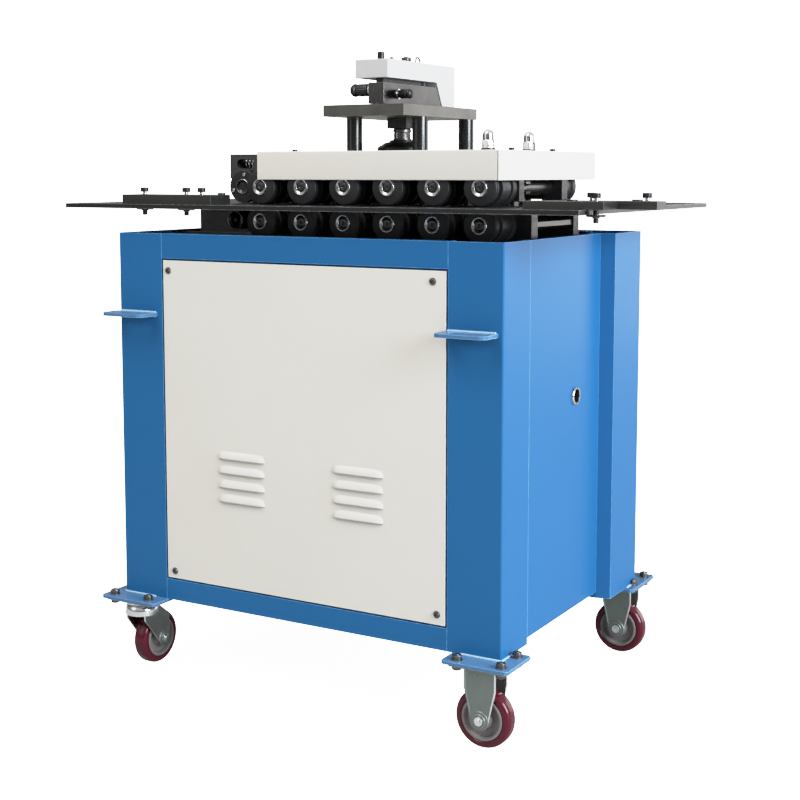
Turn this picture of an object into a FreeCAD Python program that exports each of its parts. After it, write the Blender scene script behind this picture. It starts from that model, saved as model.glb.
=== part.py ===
"""Duct lock former: a roll machine that folds the lock seam on the edge of duct sheet.

The frame has X across the front, Y towards the back, Z up, millimetres, with the origin on the floor
below the middle of the whole outline. Sizes and places are given from the middle of the cabinet, and
each body is then moved into the frame. The sheet enters at the left, on the table, passes between the
lower and the upper rolls and leaves at the right.
"""
import FreeCAD, Part
import math
import os
import Sketcher

V = FreeCAD.Vector
doc = FreeCAD.newDocument("DuctLockFormer")
sheet = doc.addObject("Spreadsheet::Sheet", "Sizes")


class Size:
    """A length that knows its formula over the sheet and its present value."""

    def __init__(self, text, value):
        self.text = text
        self.value = value

    def __add__(self, other):
        other = as_size(other)
        return Size("(%s + %s)" % (self.text, other.text), self.value + other.value)

    def __sub__(self, other):
        other = as_size(other)
        return Size("(%s - %s)" % (self.text, other.text), self.value - other.value)

    def __mul__(self, other):
        other = as_size(other)
        return Size("(%s * %s)" % (self.text, other.text), self.value * other.value)

    def __truediv__(self, other):
        other = as_size(other)
        return Size("(%s / %s)" % (self.text, other.text), self.value / other.value)

    def __radd__(self, other):
        return as_size(other) + self

    def __rsub__(self, other):
        return as_size(other) - self

    def __rmul__(self, other):
        return as_size(other) * self

    def __rtruediv__(self, other):
        return as_size(other) / self

    def __neg__(self):
        return 0 - self


def as_size(number):
    """Give a plain number the same form as a size."""
    return number if isinstance(number, Size) else Size(repr(float(number)), float(number))


def sine(angle):
    """Sine of an angle in degrees."""
    return Size("sin(%s * 1 deg)" % angle.text, math.sin(math.radians(angle.value)))


def cosine(angle):
    """Cosine of an angle in degrees."""
    return Size("cos(%s * 1 deg)" % angle.text, math.cos(math.radians(angle.value)))


row = 0


def driving(alias, number):
    """Enter one driving dimension in the sheet and return it as a size."""
    global row
    row += 1
    sheet.set("A%d" % row, alias.replace("_", " "))
    sheet.set("B%d" % row, str(number))
    sheet.setAlias("B%d" % row, alias)
    return Size("Sizes." + alias, float(number))


reserved = set(globals())

# Cabinet
cabinet_width = 790
cabinet_depth = 540
cabinet_height = 680
frame_wall = 3
post_width = 100
post_return = 100
post_lip = 18
rear_step = 26
rear_step_run = 7
rear_post_return = 138
top_rail_height = 45
bottom_rail_height = 39
rail_flange = 30
bend_radius = 3
rebate_depth = 6
rebate_width = 18
panel_gap = 3.5
panel_wall = 2
side_bottom_gap = 11
cable_hole = 25
cable_hole_back = 20
cable_hole_height = 540
pan_margin = 5
pan_play = 1
louvre_length = 88
louvre_height = 13
louvre_rise = 5
louvre_pitch = 25.5
louvre_count = 4
louvre_spread = 242
louvre_centre = 4
louvre_top = 426
louvre_slope = 35
ear_length = 96
ear_depth = 48
ear_thickness = 6
ear_top = 678
ear_slot_length = 62
ear_slot_width = 17
ear_right_offset = 57
ear_left_offset = 41

# Casters
wheel_radius = 50
wheel_width = 32
axle_radius = 6
axle_nut_reach = 10
axle_nut_height = 6
running_fit = 0.05
caster_height = 137
caster_plate = 3
caster_plate_length = 104
caster_plate_width = 84
pad_thickness = 6
pad_length = 135
pad_width = 121
pad_corner = 12
fork_wall = 3
fork_gap = 40
fork_top_width = 54
fork_end_radius = 15
swivel_trail = 37
swivel_race_radius = 31
swivel_race_height = 8
swivel_clearance = 0.5
front_right_inset = 23
front_right_out = 9
front_left_inset = 35
front_left_in = 5
rear_caster_inset = 4
rear_caster_out = 3

# Roll head
station_pitch = 88
first_station = -124
sheet_rise = 53
sheet_gap = 0.6
roll_radius = 30.6
roll_width = 80
shaft_radius = 14
side_clearance = 2
plate_front = -118
lower_plate_wall = 24
upper_plate_wall = 18
rear_plate_front = 60
rear_plate_wall = 23
plate_left = -323
plate_right = 372
upper_plate_right = 349
upper_plate_bottom_gap = 9
end_tab_left = -251
end_tab_rise = 46
end_window_length = 40
end_window_height = 18
end_window_centre = -216
end_window_rise = 73
plate_rim = 8
spring_radius = 6
spring_length = 46
beam_height = 45
beam_recess = 3
spacer_reach = 8
gear_teeth = 12
gear_width = 16
gear_addendum = 0.75
gear_dedendum = 0.95
tooth_tip_share = 0.22
tooth_root_share = 0.64
idler_stub_reach = 10
gear_setback = 4
sprocket_reach = 30
sprocket_width = 7
chain_thickness = 6
drive_nose = 38
drive_nose_radius = 17.5
entry_disc_width = 12

# Cover and table
cover_left = -127
cover_right = 352
cover_front = -205
cover_back = 206
cover_rise = 44
cover_height = 50
cover_wall = 3
table_left = -506
table_right = 529
table_front = -290
table_back = 326
table_thickness = 8
rear_window_depth = 50
plate_play = 1
guide_depth = 58
guide_front = -270
guide_travel = 6
left_screw_outer = -356
left_screw_inner = -265
right_screw = 537
right_guide_left = 426
right_guide_right = 561
right_guide_height = 13
right_bar_left = 470
right_bar_right = 625
right_bar_depth = 40
left_guide_left = -385
left_guide_seam = -182
left_guide_right = -131
left_guide_height = 17
guide_screw_radius = 4
guide_slot_play = 1
guide_nut_height = 7
guide_head_height = 8
guide_head_reach = 9
acorn_reach = 13
acorn_height = 36
acorn_x = 295
acorn_front_y = -128
acorn_rear_y = 35

# Flanging head on the cover
flange_plate_left = -2
flange_plate_right = 161
flange_plate_front = -180
flange_plate_back = 93
flange_post_height = 60
flange_plate_wall = 20
flange_post_radius = 14
flange_post_front = -98
flange_post_back = 77
arm_left = 51
arm_right = 117
arm_front = -158
arm_back = 88
arm_height = 78
arm_beam = 32
arm_slope_top = 18
arm_slope_bottom = 41.5
arm_cap_reach = 6.5
arm_cap_height = 15
arm_cap_place = -126
arm_plug_reach = 6
arm_plug_height = 9
arm_plug_place = -88
arm_nut_reach = 9
arm_nut_height = 15
arm_nut_place = -37
arm_eye_reach = 8
arm_eye_hole = 5
arm_eye_wall = 4
arm_eye_place = 5
lever_width = 31
lever_front = -172
lever_back = 12
lever_play = 1
lever_top_play = 9
lever_pivot = -6
pivot_radius = 6
grip_radius = 11.5
grip_length = 42
grip_back = 12
grip_lift = 6
side_knob_radius = 8.5
side_knob_length = 28
side_knob_back = 50
spindle_radius = 10
dish_radius = 45
dish_height = 14
dish_gap = 2
block_size = 40
block_height = 18

# Drive
motor_level = 300
motor_radius = 70
motor_length = 230
gearbox_width = 120
gearbox_depth = 90
gearbox_height = 210
foot_height = 12
foot_reach = 20

# Each number above becomes a cell of the sheet, and from here on its name stands for that cell
for alias, number in [item for item in globals().items() if item[0] not in reserved]:
    if isinstance(number, (int, float)):
        globals()[alias] = driving(alias, number)

station_count = 6
sprocket_sides = 12

# Places worked out from the sizes
half_width = cabinet_width / 2
half_depth = cabinet_depth / 2
cabinet_base = caster_height + pad_thickness
cabinet_top = cabinet_base + cabinet_height
sheet_line = cabinet_top + sheet_rise
end_tab_bottom = sheet_line + end_tab_rise
end_window_level = sheet_line + end_window_rise
cover_bottom = sheet_line + cover_rise
cover_top = cover_bottom + cover_height
flange_plate_bottom = cover_top + flange_post_height
plate_level = flange_plate_bottom + flange_plate_wall
arm_top = plate_level + arm_height
arm_low = arm_top - arm_beam
rail_top_low = cabinet_top - top_rail_height
rail_bottom_high = cabinet_base + bottom_rail_height
opening_half = half_width - post_width
rear_half = half_width + rear_step
rear_opening_half = rear_half - post_width
side_front = post_return - half_depth
side_back = half_depth - rear_post_return
roll_front = plate_front - side_clearance - roll_width
lower_axis = sheet_line - roll_radius
upper_axis = sheet_line + sheet_gap + roll_radius
axis_distance = upper_axis - lower_axis
table_bottom = sheet_line - table_thickness
beam_top = cabinet_top - beam_recess
lower_plate_back = plate_front + lower_plate_wall
rear_plate_back = rear_plate_front + rear_plate_wall
gear_front = lower_plate_back + gear_setback
gear_back = gear_front + gear_width
pitch_radius = axis_distance / 2
gear_module = axis_distance / gear_teeth
tip_radius = pitch_radius + gear_module * gear_addendum
root_radius = pitch_radius - gear_module * gear_dedendum
tooth_step = 360 / gear_teeth
sprocket_front = gear_back + gear_setback
drive_station = first_station - station_pitch
machine_front = -half_depth - front_right_out - pad_width / 2
machine_back = half_depth + rear_caster_out + swivel_trail + wheel_radius
middle_x = (table_left + right_bar_right) / 2
middle_y = (machine_front + machine_back) / 2


def station_x(index):
    """Place of a roll station along the machine, counted from 1 at the entry."""
    return first_station + station_pitch * (index - 1)


# Helpers that build sketches and features

parts = []


def bind(thing, path, amount):
    """Tie one property of an object to a size."""
    thing.setExpression(path, as_size(amount).text)


def keep(label, thing):
    """Give a finished sub-part its name and list it for the export."""
    thing.Label = label
    parts.append(thing)
    return thing


def new_body(label, x=0, y=0, z=0, kept=True):
    """Start a body at a place measured from the cabinet, and set it in the machine's own frame."""
    body = doc.addObject("PartDesign::Body", "body_" + label)
    bind(body, "Placement.Base.x", x - middle_x)
    bind(body, "Placement.Base.y", y - middle_y)
    bind(body, "Placement.Base.z", z)
    if kept:
        keep(label, body)
    else:
        body.Label = label
    return body


def new_sketch(body, name, plane, lift=0, turn=0):
    """Attach a sketch to one of the body's own planes, lifted along the plane's normal."""
    sketch = body.newObject("Sketcher::SketchObject", "%s_%s" % (body.Label, name))
    base = [item for item in body.Origin.OriginFeatures if item.Role == plane][0]
    sketch.AttachmentSupport = [(base, "")]
    sketch.MapMode = "FlatFace"
    bind(sketch, "AttachmentOffset.Base.z", lift)
    bind(sketch, "AttachmentOffset.Rotation.Angle", turn)
    return sketch


def pin(sketch, item, end, x, y):
    """Fix one point of a sketch by its two distances from the sketch's origin."""
    for kind, amount in (("DistanceX", as_size(x)), ("DistanceY", as_size(y))):
        index = sketch.addConstraint(Sketcher.Constraint(kind, -1, 1, item, end, amount.value))
        sketch.setExpression("Constraints[%d]" % index, amount.text)


def set_radius(sketch, item, radius):
    """Fix the radius of a circle or an arc of a sketch."""
    index = sketch.addConstraint(Sketcher.Constraint("Radius", item, as_size(radius).value))
    sketch.setExpression("Constraints[%d]" % index, as_size(radius).text)


def polygon(sketch, points):
    """Close a loop of straight lines through points whose coordinates are sizes."""
    corners = [V(as_size(x).value, as_size(y).value, 0) for x, y in points]
    count = len(corners)
    items = []
    for index in range(count):
        line = Part.LineSegment(corners[index], corners[(index + 1) % count])
        items.append(sketch.addGeometry(line, False))
    for index in range(count):
        following = items[(index + 1) % count]
        sketch.addConstraint(Sketcher.Constraint("Coincident", items[index], 2, following, 1))
    for item, (x, y) in zip(items, points):
        pin(sketch, item, 1, x, y)


def rectangle(sketch, x1, y1, x2, y2):
    """Close a rectangle between two opposite corners."""
    polygon(sketch, [(x1, y1), (x2, y1), (x2, y2), (x1, y2)])


def circle(sketch, x, y, radius):
    """Add a circle with its centre and radius tied to sizes."""
    centre = V(as_size(x).value, as_size(y).value, 0)
    item = sketch.addGeometry(Part.Circle(centre, V(0, 0, 1), as_size(radius).value), False)
    pin(sketch, item, 3, x, y)
    set_radius(sketch, item, radius)


def slot(sketch, x1, y1, x2, y2, radius):
    """Add a slot with round ends about two centres that share a row or a column."""
    start = V(as_size(x1).value, as_size(y1).value, 0)
    stop = V(as_size(x2).value, as_size(y2).value, 0)
    reach = as_size(radius).value
    heading = math.atan2(stop.y - start.y, stop.x - start.x)
    quarter = math.pi / 2
    side = V(math.cos(heading + quarter), math.sin(heading + quarter), 0) * reach
    axis = V(0, 0, 1)
    near = Part.ArcOfCircle(Part.Circle(start, axis, reach), heading + quarter, heading + 3 * quarter)
    far = Part.ArcOfCircle(Part.Circle(stop, axis, reach), heading - quarter, heading + quarter)
    near_item = sketch.addGeometry(near, False)
    low_item = sketch.addGeometry(Part.LineSegment(start - side, stop - side), False)
    far_item = sketch.addGeometry(far, False)
    high_item = sketch.addGeometry(Part.LineSegment(stop + side, start + side), False)
    for first, second in ((near_item, low_item), (low_item, far_item), (far_item, high_item),
                          (high_item, near_item)):
        sketch.addConstraint(Sketcher.Constraint("Tangent", first, 2, second, 1))
    pin(sketch, near_item, 3, x1, y1)
    pin(sketch, far_item, 3, x2, y2)
    set_radius(sketch, near_item, radius)


def regular(sketch, count, reach, x=0, y=0):
    """Close a regular polygon whose corners lie at a distance from its middle."""
    points = []
    for index in range(count):
        angle = as_size(360 / count * (index + 0.5))
        points.append((x + reach * cosine(angle), y + reach * sine(angle)))
    polygon(sketch, points)


def pad(body, sketch, length, reverse=False, taper=None):
    """Raise a sketch into a solid, along its normal unless reversed, narrowing by the taper angle."""
    feature = body.newObject("PartDesign::Pad", sketch.Name + "_pad")
    feature.Profile = sketch
    bind(feature, "Length", length)
    feature.Reversed = reverse
    if taper is not None:
        bind(feature, "TaperAngle", -taper)
    sketch.Visibility = False
    return feature


def pocket(body, sketch, length, reverse=False):
    """Cut a sketch into the solid, against its normal unless reversed."""
    feature = body.newObject("PartDesign::Pocket", sketch.Name + "_cut")
    feature.Profile = sketch
    bind(feature, "Length", length)
    feature.Reversed = reverse
    sketch.Visibility = False
    return feature


def turned(body, name, axis, profile):
    """Spin a half outline about an axis of the body.

    Points are (radius, height along the axis), for any of the three axes.
    """
    plane = {"X": "XY_Plane", "Y": "XY_Plane", "Z": "XZ_Plane"}[axis]
    sketch = new_sketch(body, name, plane)
    if axis == "X":
        polygon(sketch, [(along, radius) for radius, along in profile])
    else:
        polygon(sketch, profile)
    feature = body.newObject("PartDesign::Revolution", sketch.Name + "_turn")
    feature.Profile = sketch
    feature.ReferenceAxis = (sketch, ["H_Axis" if axis == "X" else "V_Axis"])
    feature.Angle = 360
    return feature


def round_edges(body, radius, test):
    """Round the straight edges of the body's solid that pass a test on their two ends."""
    doc.recompute()
    tip = body.Tip
    names = []
    for index, edge in enumerate(tip.Shape.Edges, 1):
        if len(edge.Vertexes) == 2 and test(edge.Vertexes[0].Point, edge.Vertexes[1].Point):
            names.append("Edge%d" % index)
    feature = body.newObject("PartDesign::Fillet", body.Label + "_round")
    feature.Base = (tip, names)
    bind(feature, "Radius", radius)
    return feature


def copies(label, source, places):
    """Group one copy of a piece at each place under one name."""
    links = []
    for index, (x, y, z) in enumerate(places, 1):
        link = doc.addObject("App::Link", "%s_%d" % (label, index))
        link.LinkedObject = source
        link.LinkTransform = True
        bind(link, "LinkPlacement.Base.x", x)
        bind(link, "LinkPlacement.Base.y", y)
        bind(link, "LinkPlacement.Base.z", z)
        links.append(link)
    return links


def group(label, members):
    """Join separate solids under one name, without fusing them."""
    compound = doc.addObject("Part::Compound", "group_" + label)
    compound.Links = members
    return keep(label, compound)


def near(first, second):
    """Say whether two lengths are the same but for rounding."""
    return abs(first - second) < 0.01


# Cabinet: bent sheet posts, rails and skins

def front_post(side):
    """Post of bent sheet: front face, side face, a lip for each skin and a strip behind the panel."""
    body = new_body("front_post_%s" % ("left" if side < 0 else "right"), z=cabinet_base, kept=False)
    inner = opening_half
    lip = half_width - post_lip
    outline = [
        (inner, -half_depth), (half_width, -half_depth), (half_width, side_front),
        (lip, side_front), (lip, side_front - frame_wall), (half_width - frame_wall, side_front - frame_wall),
        (half_width - frame_wall, frame_wall - half_depth), (inner + frame_wall, frame_wall - half_depth),
        (inner + frame_wall, post_lip - half_depth), (inner, post_lip - half_depth),
    ]
    sketch = new_sketch(body, "section", "XY_Plane")
    polygon(sketch, [(side * x, y) for x, y in outline])
    pad(body, sketch, cabinet_height)
    strip = new_sketch(body, "strip", "XY_Plane", bottom_rail_height + rebate_width)
    back = rebate_depth - half_depth
    rectangle(strip, side * (inner - rebate_width), back, side * inner, back + frame_wall)
    pad(body, strip, cabinet_height - bottom_rail_height - top_rail_height - 2 * rebate_width)
    corner_x = side * half_width.value
    corner_y = -half_depth.value
    round_edges(body, bend_radius, lambda a, b: near(a.x, corner_x) and near(b.x, corner_x)
                and near(a.y, corner_y) and near(b.y, corner_y))
    return body


def rear_post(side):
    """Rear post, stepped outwards past the side skin to make the machine's hip."""
    body = new_body("rear_post_%s" % ("left" if side < 0 else "right"), z=cabinet_base, kept=False)
    inner = rear_opening_half
    lip = half_width - post_lip
    step_back = side_back + rear_step_run
    outline = [
        (lip, side_back), (half_width, side_back), (rear_half, step_back), (rear_half, half_depth),
        (inner, half_depth), (inner, half_depth - post_lip), (inner + frame_wall, half_depth - post_lip),
        (inner + frame_wall, half_depth - frame_wall), (rear_half - frame_wall, half_depth - frame_wall),
        (rear_half - frame_wall, step_back + frame_wall), (half_width - frame_wall, side_back + frame_wall),
        (lip, side_back + frame_wall),
    ]
    sketch = new_sketch(body, "section", "XY_Plane")
    polygon(sketch, [(side * x, y) for x, y in outline])
    pad(body, sketch, cabinet_height)
    strip = new_sketch(body, "strip", "XY_Plane", bottom_rail_height + rebate_width)
    back = half_depth - rebate_depth
    rectangle(strip, side * (inner - rebate_width), back, side * inner, back - frame_wall)
    pad(body, strip, cabinet_height - bottom_rail_height - top_rail_height - 2 * rebate_width)
    corner_x = side * rear_half.value
    corner_y = half_depth.value
    round_edges(body, bend_radius, lambda a, b: near(a.x, corner_x) and near(b.x, corner_x)
                and near(a.y, corner_y) and near(b.y, corner_y))
    return body


def rail(name, facing, level):
    """Channel rail between two posts, with a strip that the panel rests on.

    facing is -1 at the front and 1 at the back; level is 1 for the top rail and -1 for the bottom rail.
    """
    half = opening_half if facing < 0 else rear_opening_half
    body = new_body(name, x=-half, kept=False)
    outer = facing * half_depth
    inward = -facing
    edge = cabinet_top if level > 0 else cabinet_base
    seat = rail_top_low if level > 0 else rail_bottom_high
    wall = level * frame_wall
    outline = [
        (outer, seat), (outer, edge), (outer + inward * rail_flange, edge),
        (outer + inward * rail_flange, edge - wall), (outer + inward * frame_wall, edge - wall),
        (outer + inward * frame_wall, seat + wall), (outer + inward * post_lip, seat + wall),
        (outer + inward * post_lip, seat),
    ]
    sketch = new_sketch(body, "section", "YZ_Plane")
    polygon(sketch, outline)
    pad(body, sketch, 2 * half)
    strip = new_sketch(body, "strip", "YZ_Plane")
    back = outer + inward * rebate_depth
    rectangle(strip, back, seat - level * rebate_width, back + inward * frame_wall, seat)
    pad(body, strip, 2 * half)
    return body


def side_skin(side):
    """Side skin: a shallow tray of sheet between the posts, flush with them."""
    body = new_body("side_skin_%s" % ("left" if side < 0 else "right"),
                    z=cabinet_base + side_bottom_gap, kept=False)
    height = cabinet_height - side_bottom_gap
    lip = half_width - post_lip
    outline = [
        (lip, side_front), (half_width, side_front), (half_width, side_back), (lip, side_back),
        (lip, side_back - panel_wall), (half_width - panel_wall, side_back - panel_wall),
        (half_width - panel_wall, side_front + panel_wall), (lip, side_front + panel_wall),
    ]
    sketch = new_sketch(body, "section", "XY_Plane")
    polygon(sketch, [(side * x, y) for x, y in outline])
    pad(body, sketch, height)
    brim = new_sketch(body, "brim", "XY_Plane", height - frame_wall)
    rectangle(brim, side * lip, side_front, side * half_width, side_back)
    pad(body, brim, frame_wall)
    if side > 0:
        hole = new_sketch(body, "cable_hole", "YZ_Plane", half_width)
        circle(hole, cable_hole_back, cable_hole_height - cabinet_base - side_bottom_gap, cable_hole / 2)
        pocket(body, hole, 2 * panel_wall)
    return body


def panel_body(label, facing):
    """Screwed-on panel: a tray of sheet whose turned edges rest on the strips of posts and rails."""
    half = (opening_half if facing < 0 else rear_opening_half) - panel_gap
    body = new_body(label, y=facing * half_depth)
    low = rail_bottom_high + panel_gap
    high = rail_top_low - panel_gap
    tray = new_sketch(body, "face", "XZ_Plane")
    rectangle(tray, -half, low, half, high)
    pad(body, tray, rebate_depth, reverse=facing < 0)
    hollow = new_sketch(body, "hollow", "XZ_Plane", facing * rebate_depth)
    rectangle(hollow, panel_wall - half, low + panel_wall, half - panel_wall, high - panel_wall)
    pocket(body, hollow, rebate_depth - panel_wall, reverse=facing < 0)
    return body


def front_panel():
    """Front panel with two banks of pressed louvres that open downwards."""
    body = panel_body("front_panel", -1)
    left = louvre_centre - louvre_spread / 2
    hood = new_sketch(body, "hood", "XZ_Plane")
    rectangle(hood, left - louvre_length / 2, louvre_top - louvre_height,
              left + louvre_length / 2, louvre_top)
    hood_pad = pad(body, hood, louvre_rise, taper=louvre_slope)
    cavity = new_sketch(body, "cavity", "XZ_Plane", -panel_wall)
    inset = louvre_rise
    rectangle(cavity, left - louvre_length / 2 + inset, louvre_top - louvre_height + inset / 2,
              left + louvre_length / 2 - inset, louvre_top - inset)
    cavity_cut = pocket(body, cavity, louvre_rise + panel_wall / 2, reverse=True)
    mouth = new_sketch(body, "mouth", "XZ_Plane", louvre_rise)
    rectangle(mouth, left - louvre_length / 2 + inset, louvre_top - louvre_height,
              left + louvre_length / 2 - inset, louvre_top - louvre_height + inset / 2)
    mouth_cut = pocket(body, mouth, louvre_rise)
    bank = body.newObject("PartDesign::LinearPattern", "louvre_rows")
    bank.Originals = [hood_pad, cavity_cut, mouth_cut]
    bank.Direction = (hood, ["V_Axis"])
    bank.Reversed = True
    bind(bank, "Length", louvre_pitch * (louvre_count - 1))
    bind(bank, "Occurrences", louvre_count)
    bank.Direction2 = (hood, ["H_Axis"])
    bind(bank, "Length2", louvre_spread)
    bank.Occurrences2 = 2
    body.Tip = bank


def ear(name, centre):
    """Slotted ear of plate welded flat to a post, with its front corners cut."""
    body = new_body(name, x=centre, y=-half_depth, z=ear_top - ear_thickness, kept=False)
    sketch = new_sketch(body, "plate", "XY_Plane")
    a = ear_length / 2
    cut = ear_slot_width / 2
    polygon(sketch, [(-a, 0), (-a, cut - ear_depth), (cut - a, -ear_depth), (a - cut, -ear_depth),
                     (a, cut - ear_depth), (a, 0)])
    reach = (ear_slot_length - ear_slot_width) / 2
    middle = -ear_depth / 2
    slot(sketch, -reach, middle, reach, middle, ear_slot_width / 2)
    pad(body, sketch, ear_thickness)
    return body


group("front_posts", [front_post(-1), front_post(1)])
group("rear_posts", [rear_post(-1), rear_post(1)])
group("frame_rails", [rail("front_top_rail", -1, 1), rail("front_bottom_rail", -1, -1),
                      rail("rear_top_rail", 1, 1), rail("rear_bottom_rail", 1, -1)])
group("side_skins", [side_skin(-1), side_skin(1)])
front_panel()
panel_body("rear_panel", 1)
group("lifting_ears", [ear("ear_left", ear_left_offset - half_width),
                       ear("ear_right", half_width - ear_right_offset)])

floor_pan = new_body("floor_pan", z=cabinet_base + frame_wall)
floor_sketch = new_sketch(floor_pan, "sheet", "XY_Plane")
floor_depth = half_depth - frame_wall - pan_play
rectangle(floor_sketch, pan_margin - opening_half, -floor_depth, opening_half - pan_margin, floor_depth)
pad(floor_pan, floor_sketch, frame_wall)


# Casters

corners = {
    "front_left": (front_left_inset - half_width, front_left_in - half_depth),
    "rear_left": (rear_caster_inset - half_width, half_depth + rear_caster_out),
    "front_right": (half_width - front_right_inset, -half_depth - front_right_out),
    "rear_right": (half_width - rear_caster_inset, half_depth + rear_caster_out),
}


def caster_pad(name, x, y):
    """Steel pad with cut corners, welded under a corner of the cabinet to take a caster."""
    body = new_body("pad_" + name, x=x, y=y, z=caster_height, kept=False)
    sketch = new_sketch(body, "plate", "XY_Plane")
    a = pad_length / 2
    b = pad_width / 2
    cut = pad_corner
    polygon(sketch, [(cut - a, -b), (a - cut, -b), (a, cut - b), (a, b - cut),
                     (a - cut, b), (cut - a, b), (-a, b - cut), (-a, cut - b)])
    pad(body, sketch, pad_thickness)
    return body


group("caster_pads", [caster_pad(name, x, y) for name, (x, y) in corners.items()])


def wheel(label, x, y, axis):
    """Caster wheel with its bore, turned about its axle."""
    body = new_body(label, x=x, y=y, z=wheel_radius)
    bore = axle_radius + running_fit
    half = wheel_width / 2
    turned(body, "section", axis, [(bore, -half), (wheel_radius, -half), (wheel_radius, half), (bore, half)])


def axle(name, x, y, plane):
    """Axle of hexagon bar between the legs of a fork."""
    body = new_body(name, x=x, y=y, z=wheel_radius, kept=False)
    sketch = new_sketch(body, "bar", plane, -fork_gap / 2)
    regular(sketch, 6, axle_radius)
    pad(body, sketch, fork_gap)
    return body


def top_plate(body):
    """Add the caster's own top plate under the pad."""
    plate = new_sketch(body, "top_plate", "XY_Plane", caster_height - caster_plate)
    rectangle(plate, -caster_plate_length / 2, -caster_plate_width / 2,
              caster_plate_length / 2, caster_plate_width / 2)
    pad(body, plate, caster_plate)


def fork_legs(body, plane, centre, top):
    """Add both legs of a fork, straps that taper to the axle, each with the axle's hexagon outside."""
    half = fork_top_width / 2
    eye = fork_end_radius
    for side, name in ((1, "near"), (-1, "far")):
        leg = new_sketch(body, name + "_leg", plane, side * fork_gap / 2)
        polygon(leg, [(-half, top), (half, top), (centre + eye, wheel_radius),
                      (centre + eye / 2, wheel_radius - eye), (centre - eye / 2, wheel_radius - eye),
                      (centre - eye, wheel_radius)])
        pad(body, leg, fork_wall, reverse=side < 0)
        nut = new_sketch(body, name + "_nut", plane, side * (fork_gap / 2 + fork_wall))
        regular(nut, 6, axle_nut_reach, centre, wheel_radius)
        pad(body, nut, axle_nut_height, reverse=side < 0)


def rigid_fork(name, x, y):
    """Fixed caster frame: top plate, bridge and two legs across Y."""
    body = new_body("fork_" + name, x=x, y=y, kept=False)
    top_plate(body)
    top = caster_height - caster_plate
    bridge = new_sketch(body, "bridge", "XY_Plane", top - fork_wall)
    reach = fork_gap / 2 + fork_wall
    rectangle(bridge, -fork_top_width / 2, -reach, fork_top_width / 2, reach)
    pad(body, bridge, fork_wall)
    fork_legs(body, "XZ_Plane", as_size(0), top)
    return body


race_bottom = caster_height - caster_plate - swivel_race_height
yoke_top = race_bottom - swivel_clearance


def swivel_head(name, x, y):
    """Fixed half of a swivel caster: top plate and race."""
    body = new_body("head_" + name, x=x, y=y, kept=False)
    top_plate(body)
    race = new_sketch(body, "race", "XY_Plane", race_bottom)
    regular(race, 12, swivel_race_radius)
    pad(body, race, swivel_race_height)
    return body


def swivel_yoke(label, x, y):
    """Turning half of a swivel caster: bridge, kingpin nut, two raked legs across X, and the axle."""
    body = new_body("yoke_" + label, x=x, y=y, kept=False)
    bridge = new_sketch(body, "bridge", "XY_Plane", yoke_top - fork_wall)
    reach = fork_gap / 2 + fork_wall
    rectangle(bridge, -reach, -fork_top_width / 2, reach, fork_top_width / 2)
    pad(body, bridge, fork_wall)
    nut = new_sketch(body, "kingpin_nut", "XY_Plane", yoke_top - fork_wall)
    regular(nut, 6, axle_nut_reach, 0, 0)
    pad(body, nut, axle_nut_height, reverse=True)
    fork_legs(body, "YZ_Plane", swivel_trail, yoke_top)
    group(label, [body, axle("axle_" + label, x, y + swivel_trail, "YZ_Plane")])


group("rigid_forks", [
    rigid_fork("front_right", *corners["front_right"]), rigid_fork("rear_right", *corners["rear_right"]),
    axle("axle_front_right", *corners["front_right"], "XZ_Plane"),
    axle("axle_rear_right", *corners["rear_right"], "XZ_Plane"),
])
group("swivel_heads", [swivel_head("front_left", *corners["front_left"]),
                       swivel_head("rear_left", *corners["rear_left"])])
for corner in ("front_left", "rear_left"):
    corner_x, corner_y = corners[corner]
    swivel_yoke("swivel_yoke_" + corner, corner_x, corner_y)
    wheel("wheel_" + corner, corner_x, corner_y + swivel_trail, "X")
for corner in ("front_right", "rear_right"):
    wheel("wheel_" + corner, *corners[corner], "Y")


# Roll head: plates, rolls and gear train

def meshed_phase(phase, direction):
    """Tooth angle of a gear in mesh with an equal gear.

    phase is the first gear's tooth angle and direction the bearing from it to the second, in degrees.
    A tooth of one must meet a gap of the other on the line between their centres.
    """
    offset = (direction - phase) / tooth_step
    return direction + 180 - (0.5 - offset) * tooth_step


def add_gear(body, phase):
    """Put a gear on the body's own axis, with one tooth at the phase angle.

    The blank has one flat for each tooth, and the gaps are cut between them.
    """
    corner = tip_radius / cosine(tooth_step / 2)
    blank = new_sketch(body, "gear_blank", "XZ_Plane", -gear_front, phase)
    outline = []
    for index in range(int(gear_teeth.value)):
        angle = tooth_step * (index + 0.5)
        outline.append((corner * cosine(angle), corner * sine(angle)))
    polygon(blank, outline)
    pad(body, blank, gear_width, reverse=True)
    root_angle = (0.5 - tooth_root_share * pitch_radius / root_radius / 2) * tooth_step
    tip_angle = (0.5 - tooth_tip_share * pitch_radius / tip_radius / 2) * tooth_step
    root_x = root_radius * cosine(root_angle)
    root_y = root_radius * sine(root_angle)
    tip_x = tip_radius * cosine(tip_angle)
    tip_y = tip_radius * sine(tip_angle)
    outer_x = corner + 1
    outer_y = tip_y + (tip_y - root_y) / (tip_x - root_x) * (outer_x - tip_x)
    gap = new_sketch(body, "tooth_gap", "XZ_Plane", -gear_front, phase + tooth_step / 2)
    polygon(gap, [(root_x, -root_y), (outer_x, -outer_y), (outer_x, outer_y), (root_x, root_y)])
    cut = pocket(body, gap, gear_width)
    teeth = body.newObject("PartDesign::PolarPattern", body.Label + "_teeth")
    teeth.Originals = [cut]
    teeth.Axis = (gap, ["N_Axis"])
    teeth.Angle = 360
    bind(teeth, "Occurrences", gear_teeth)
    body.Tip = teeth


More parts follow.
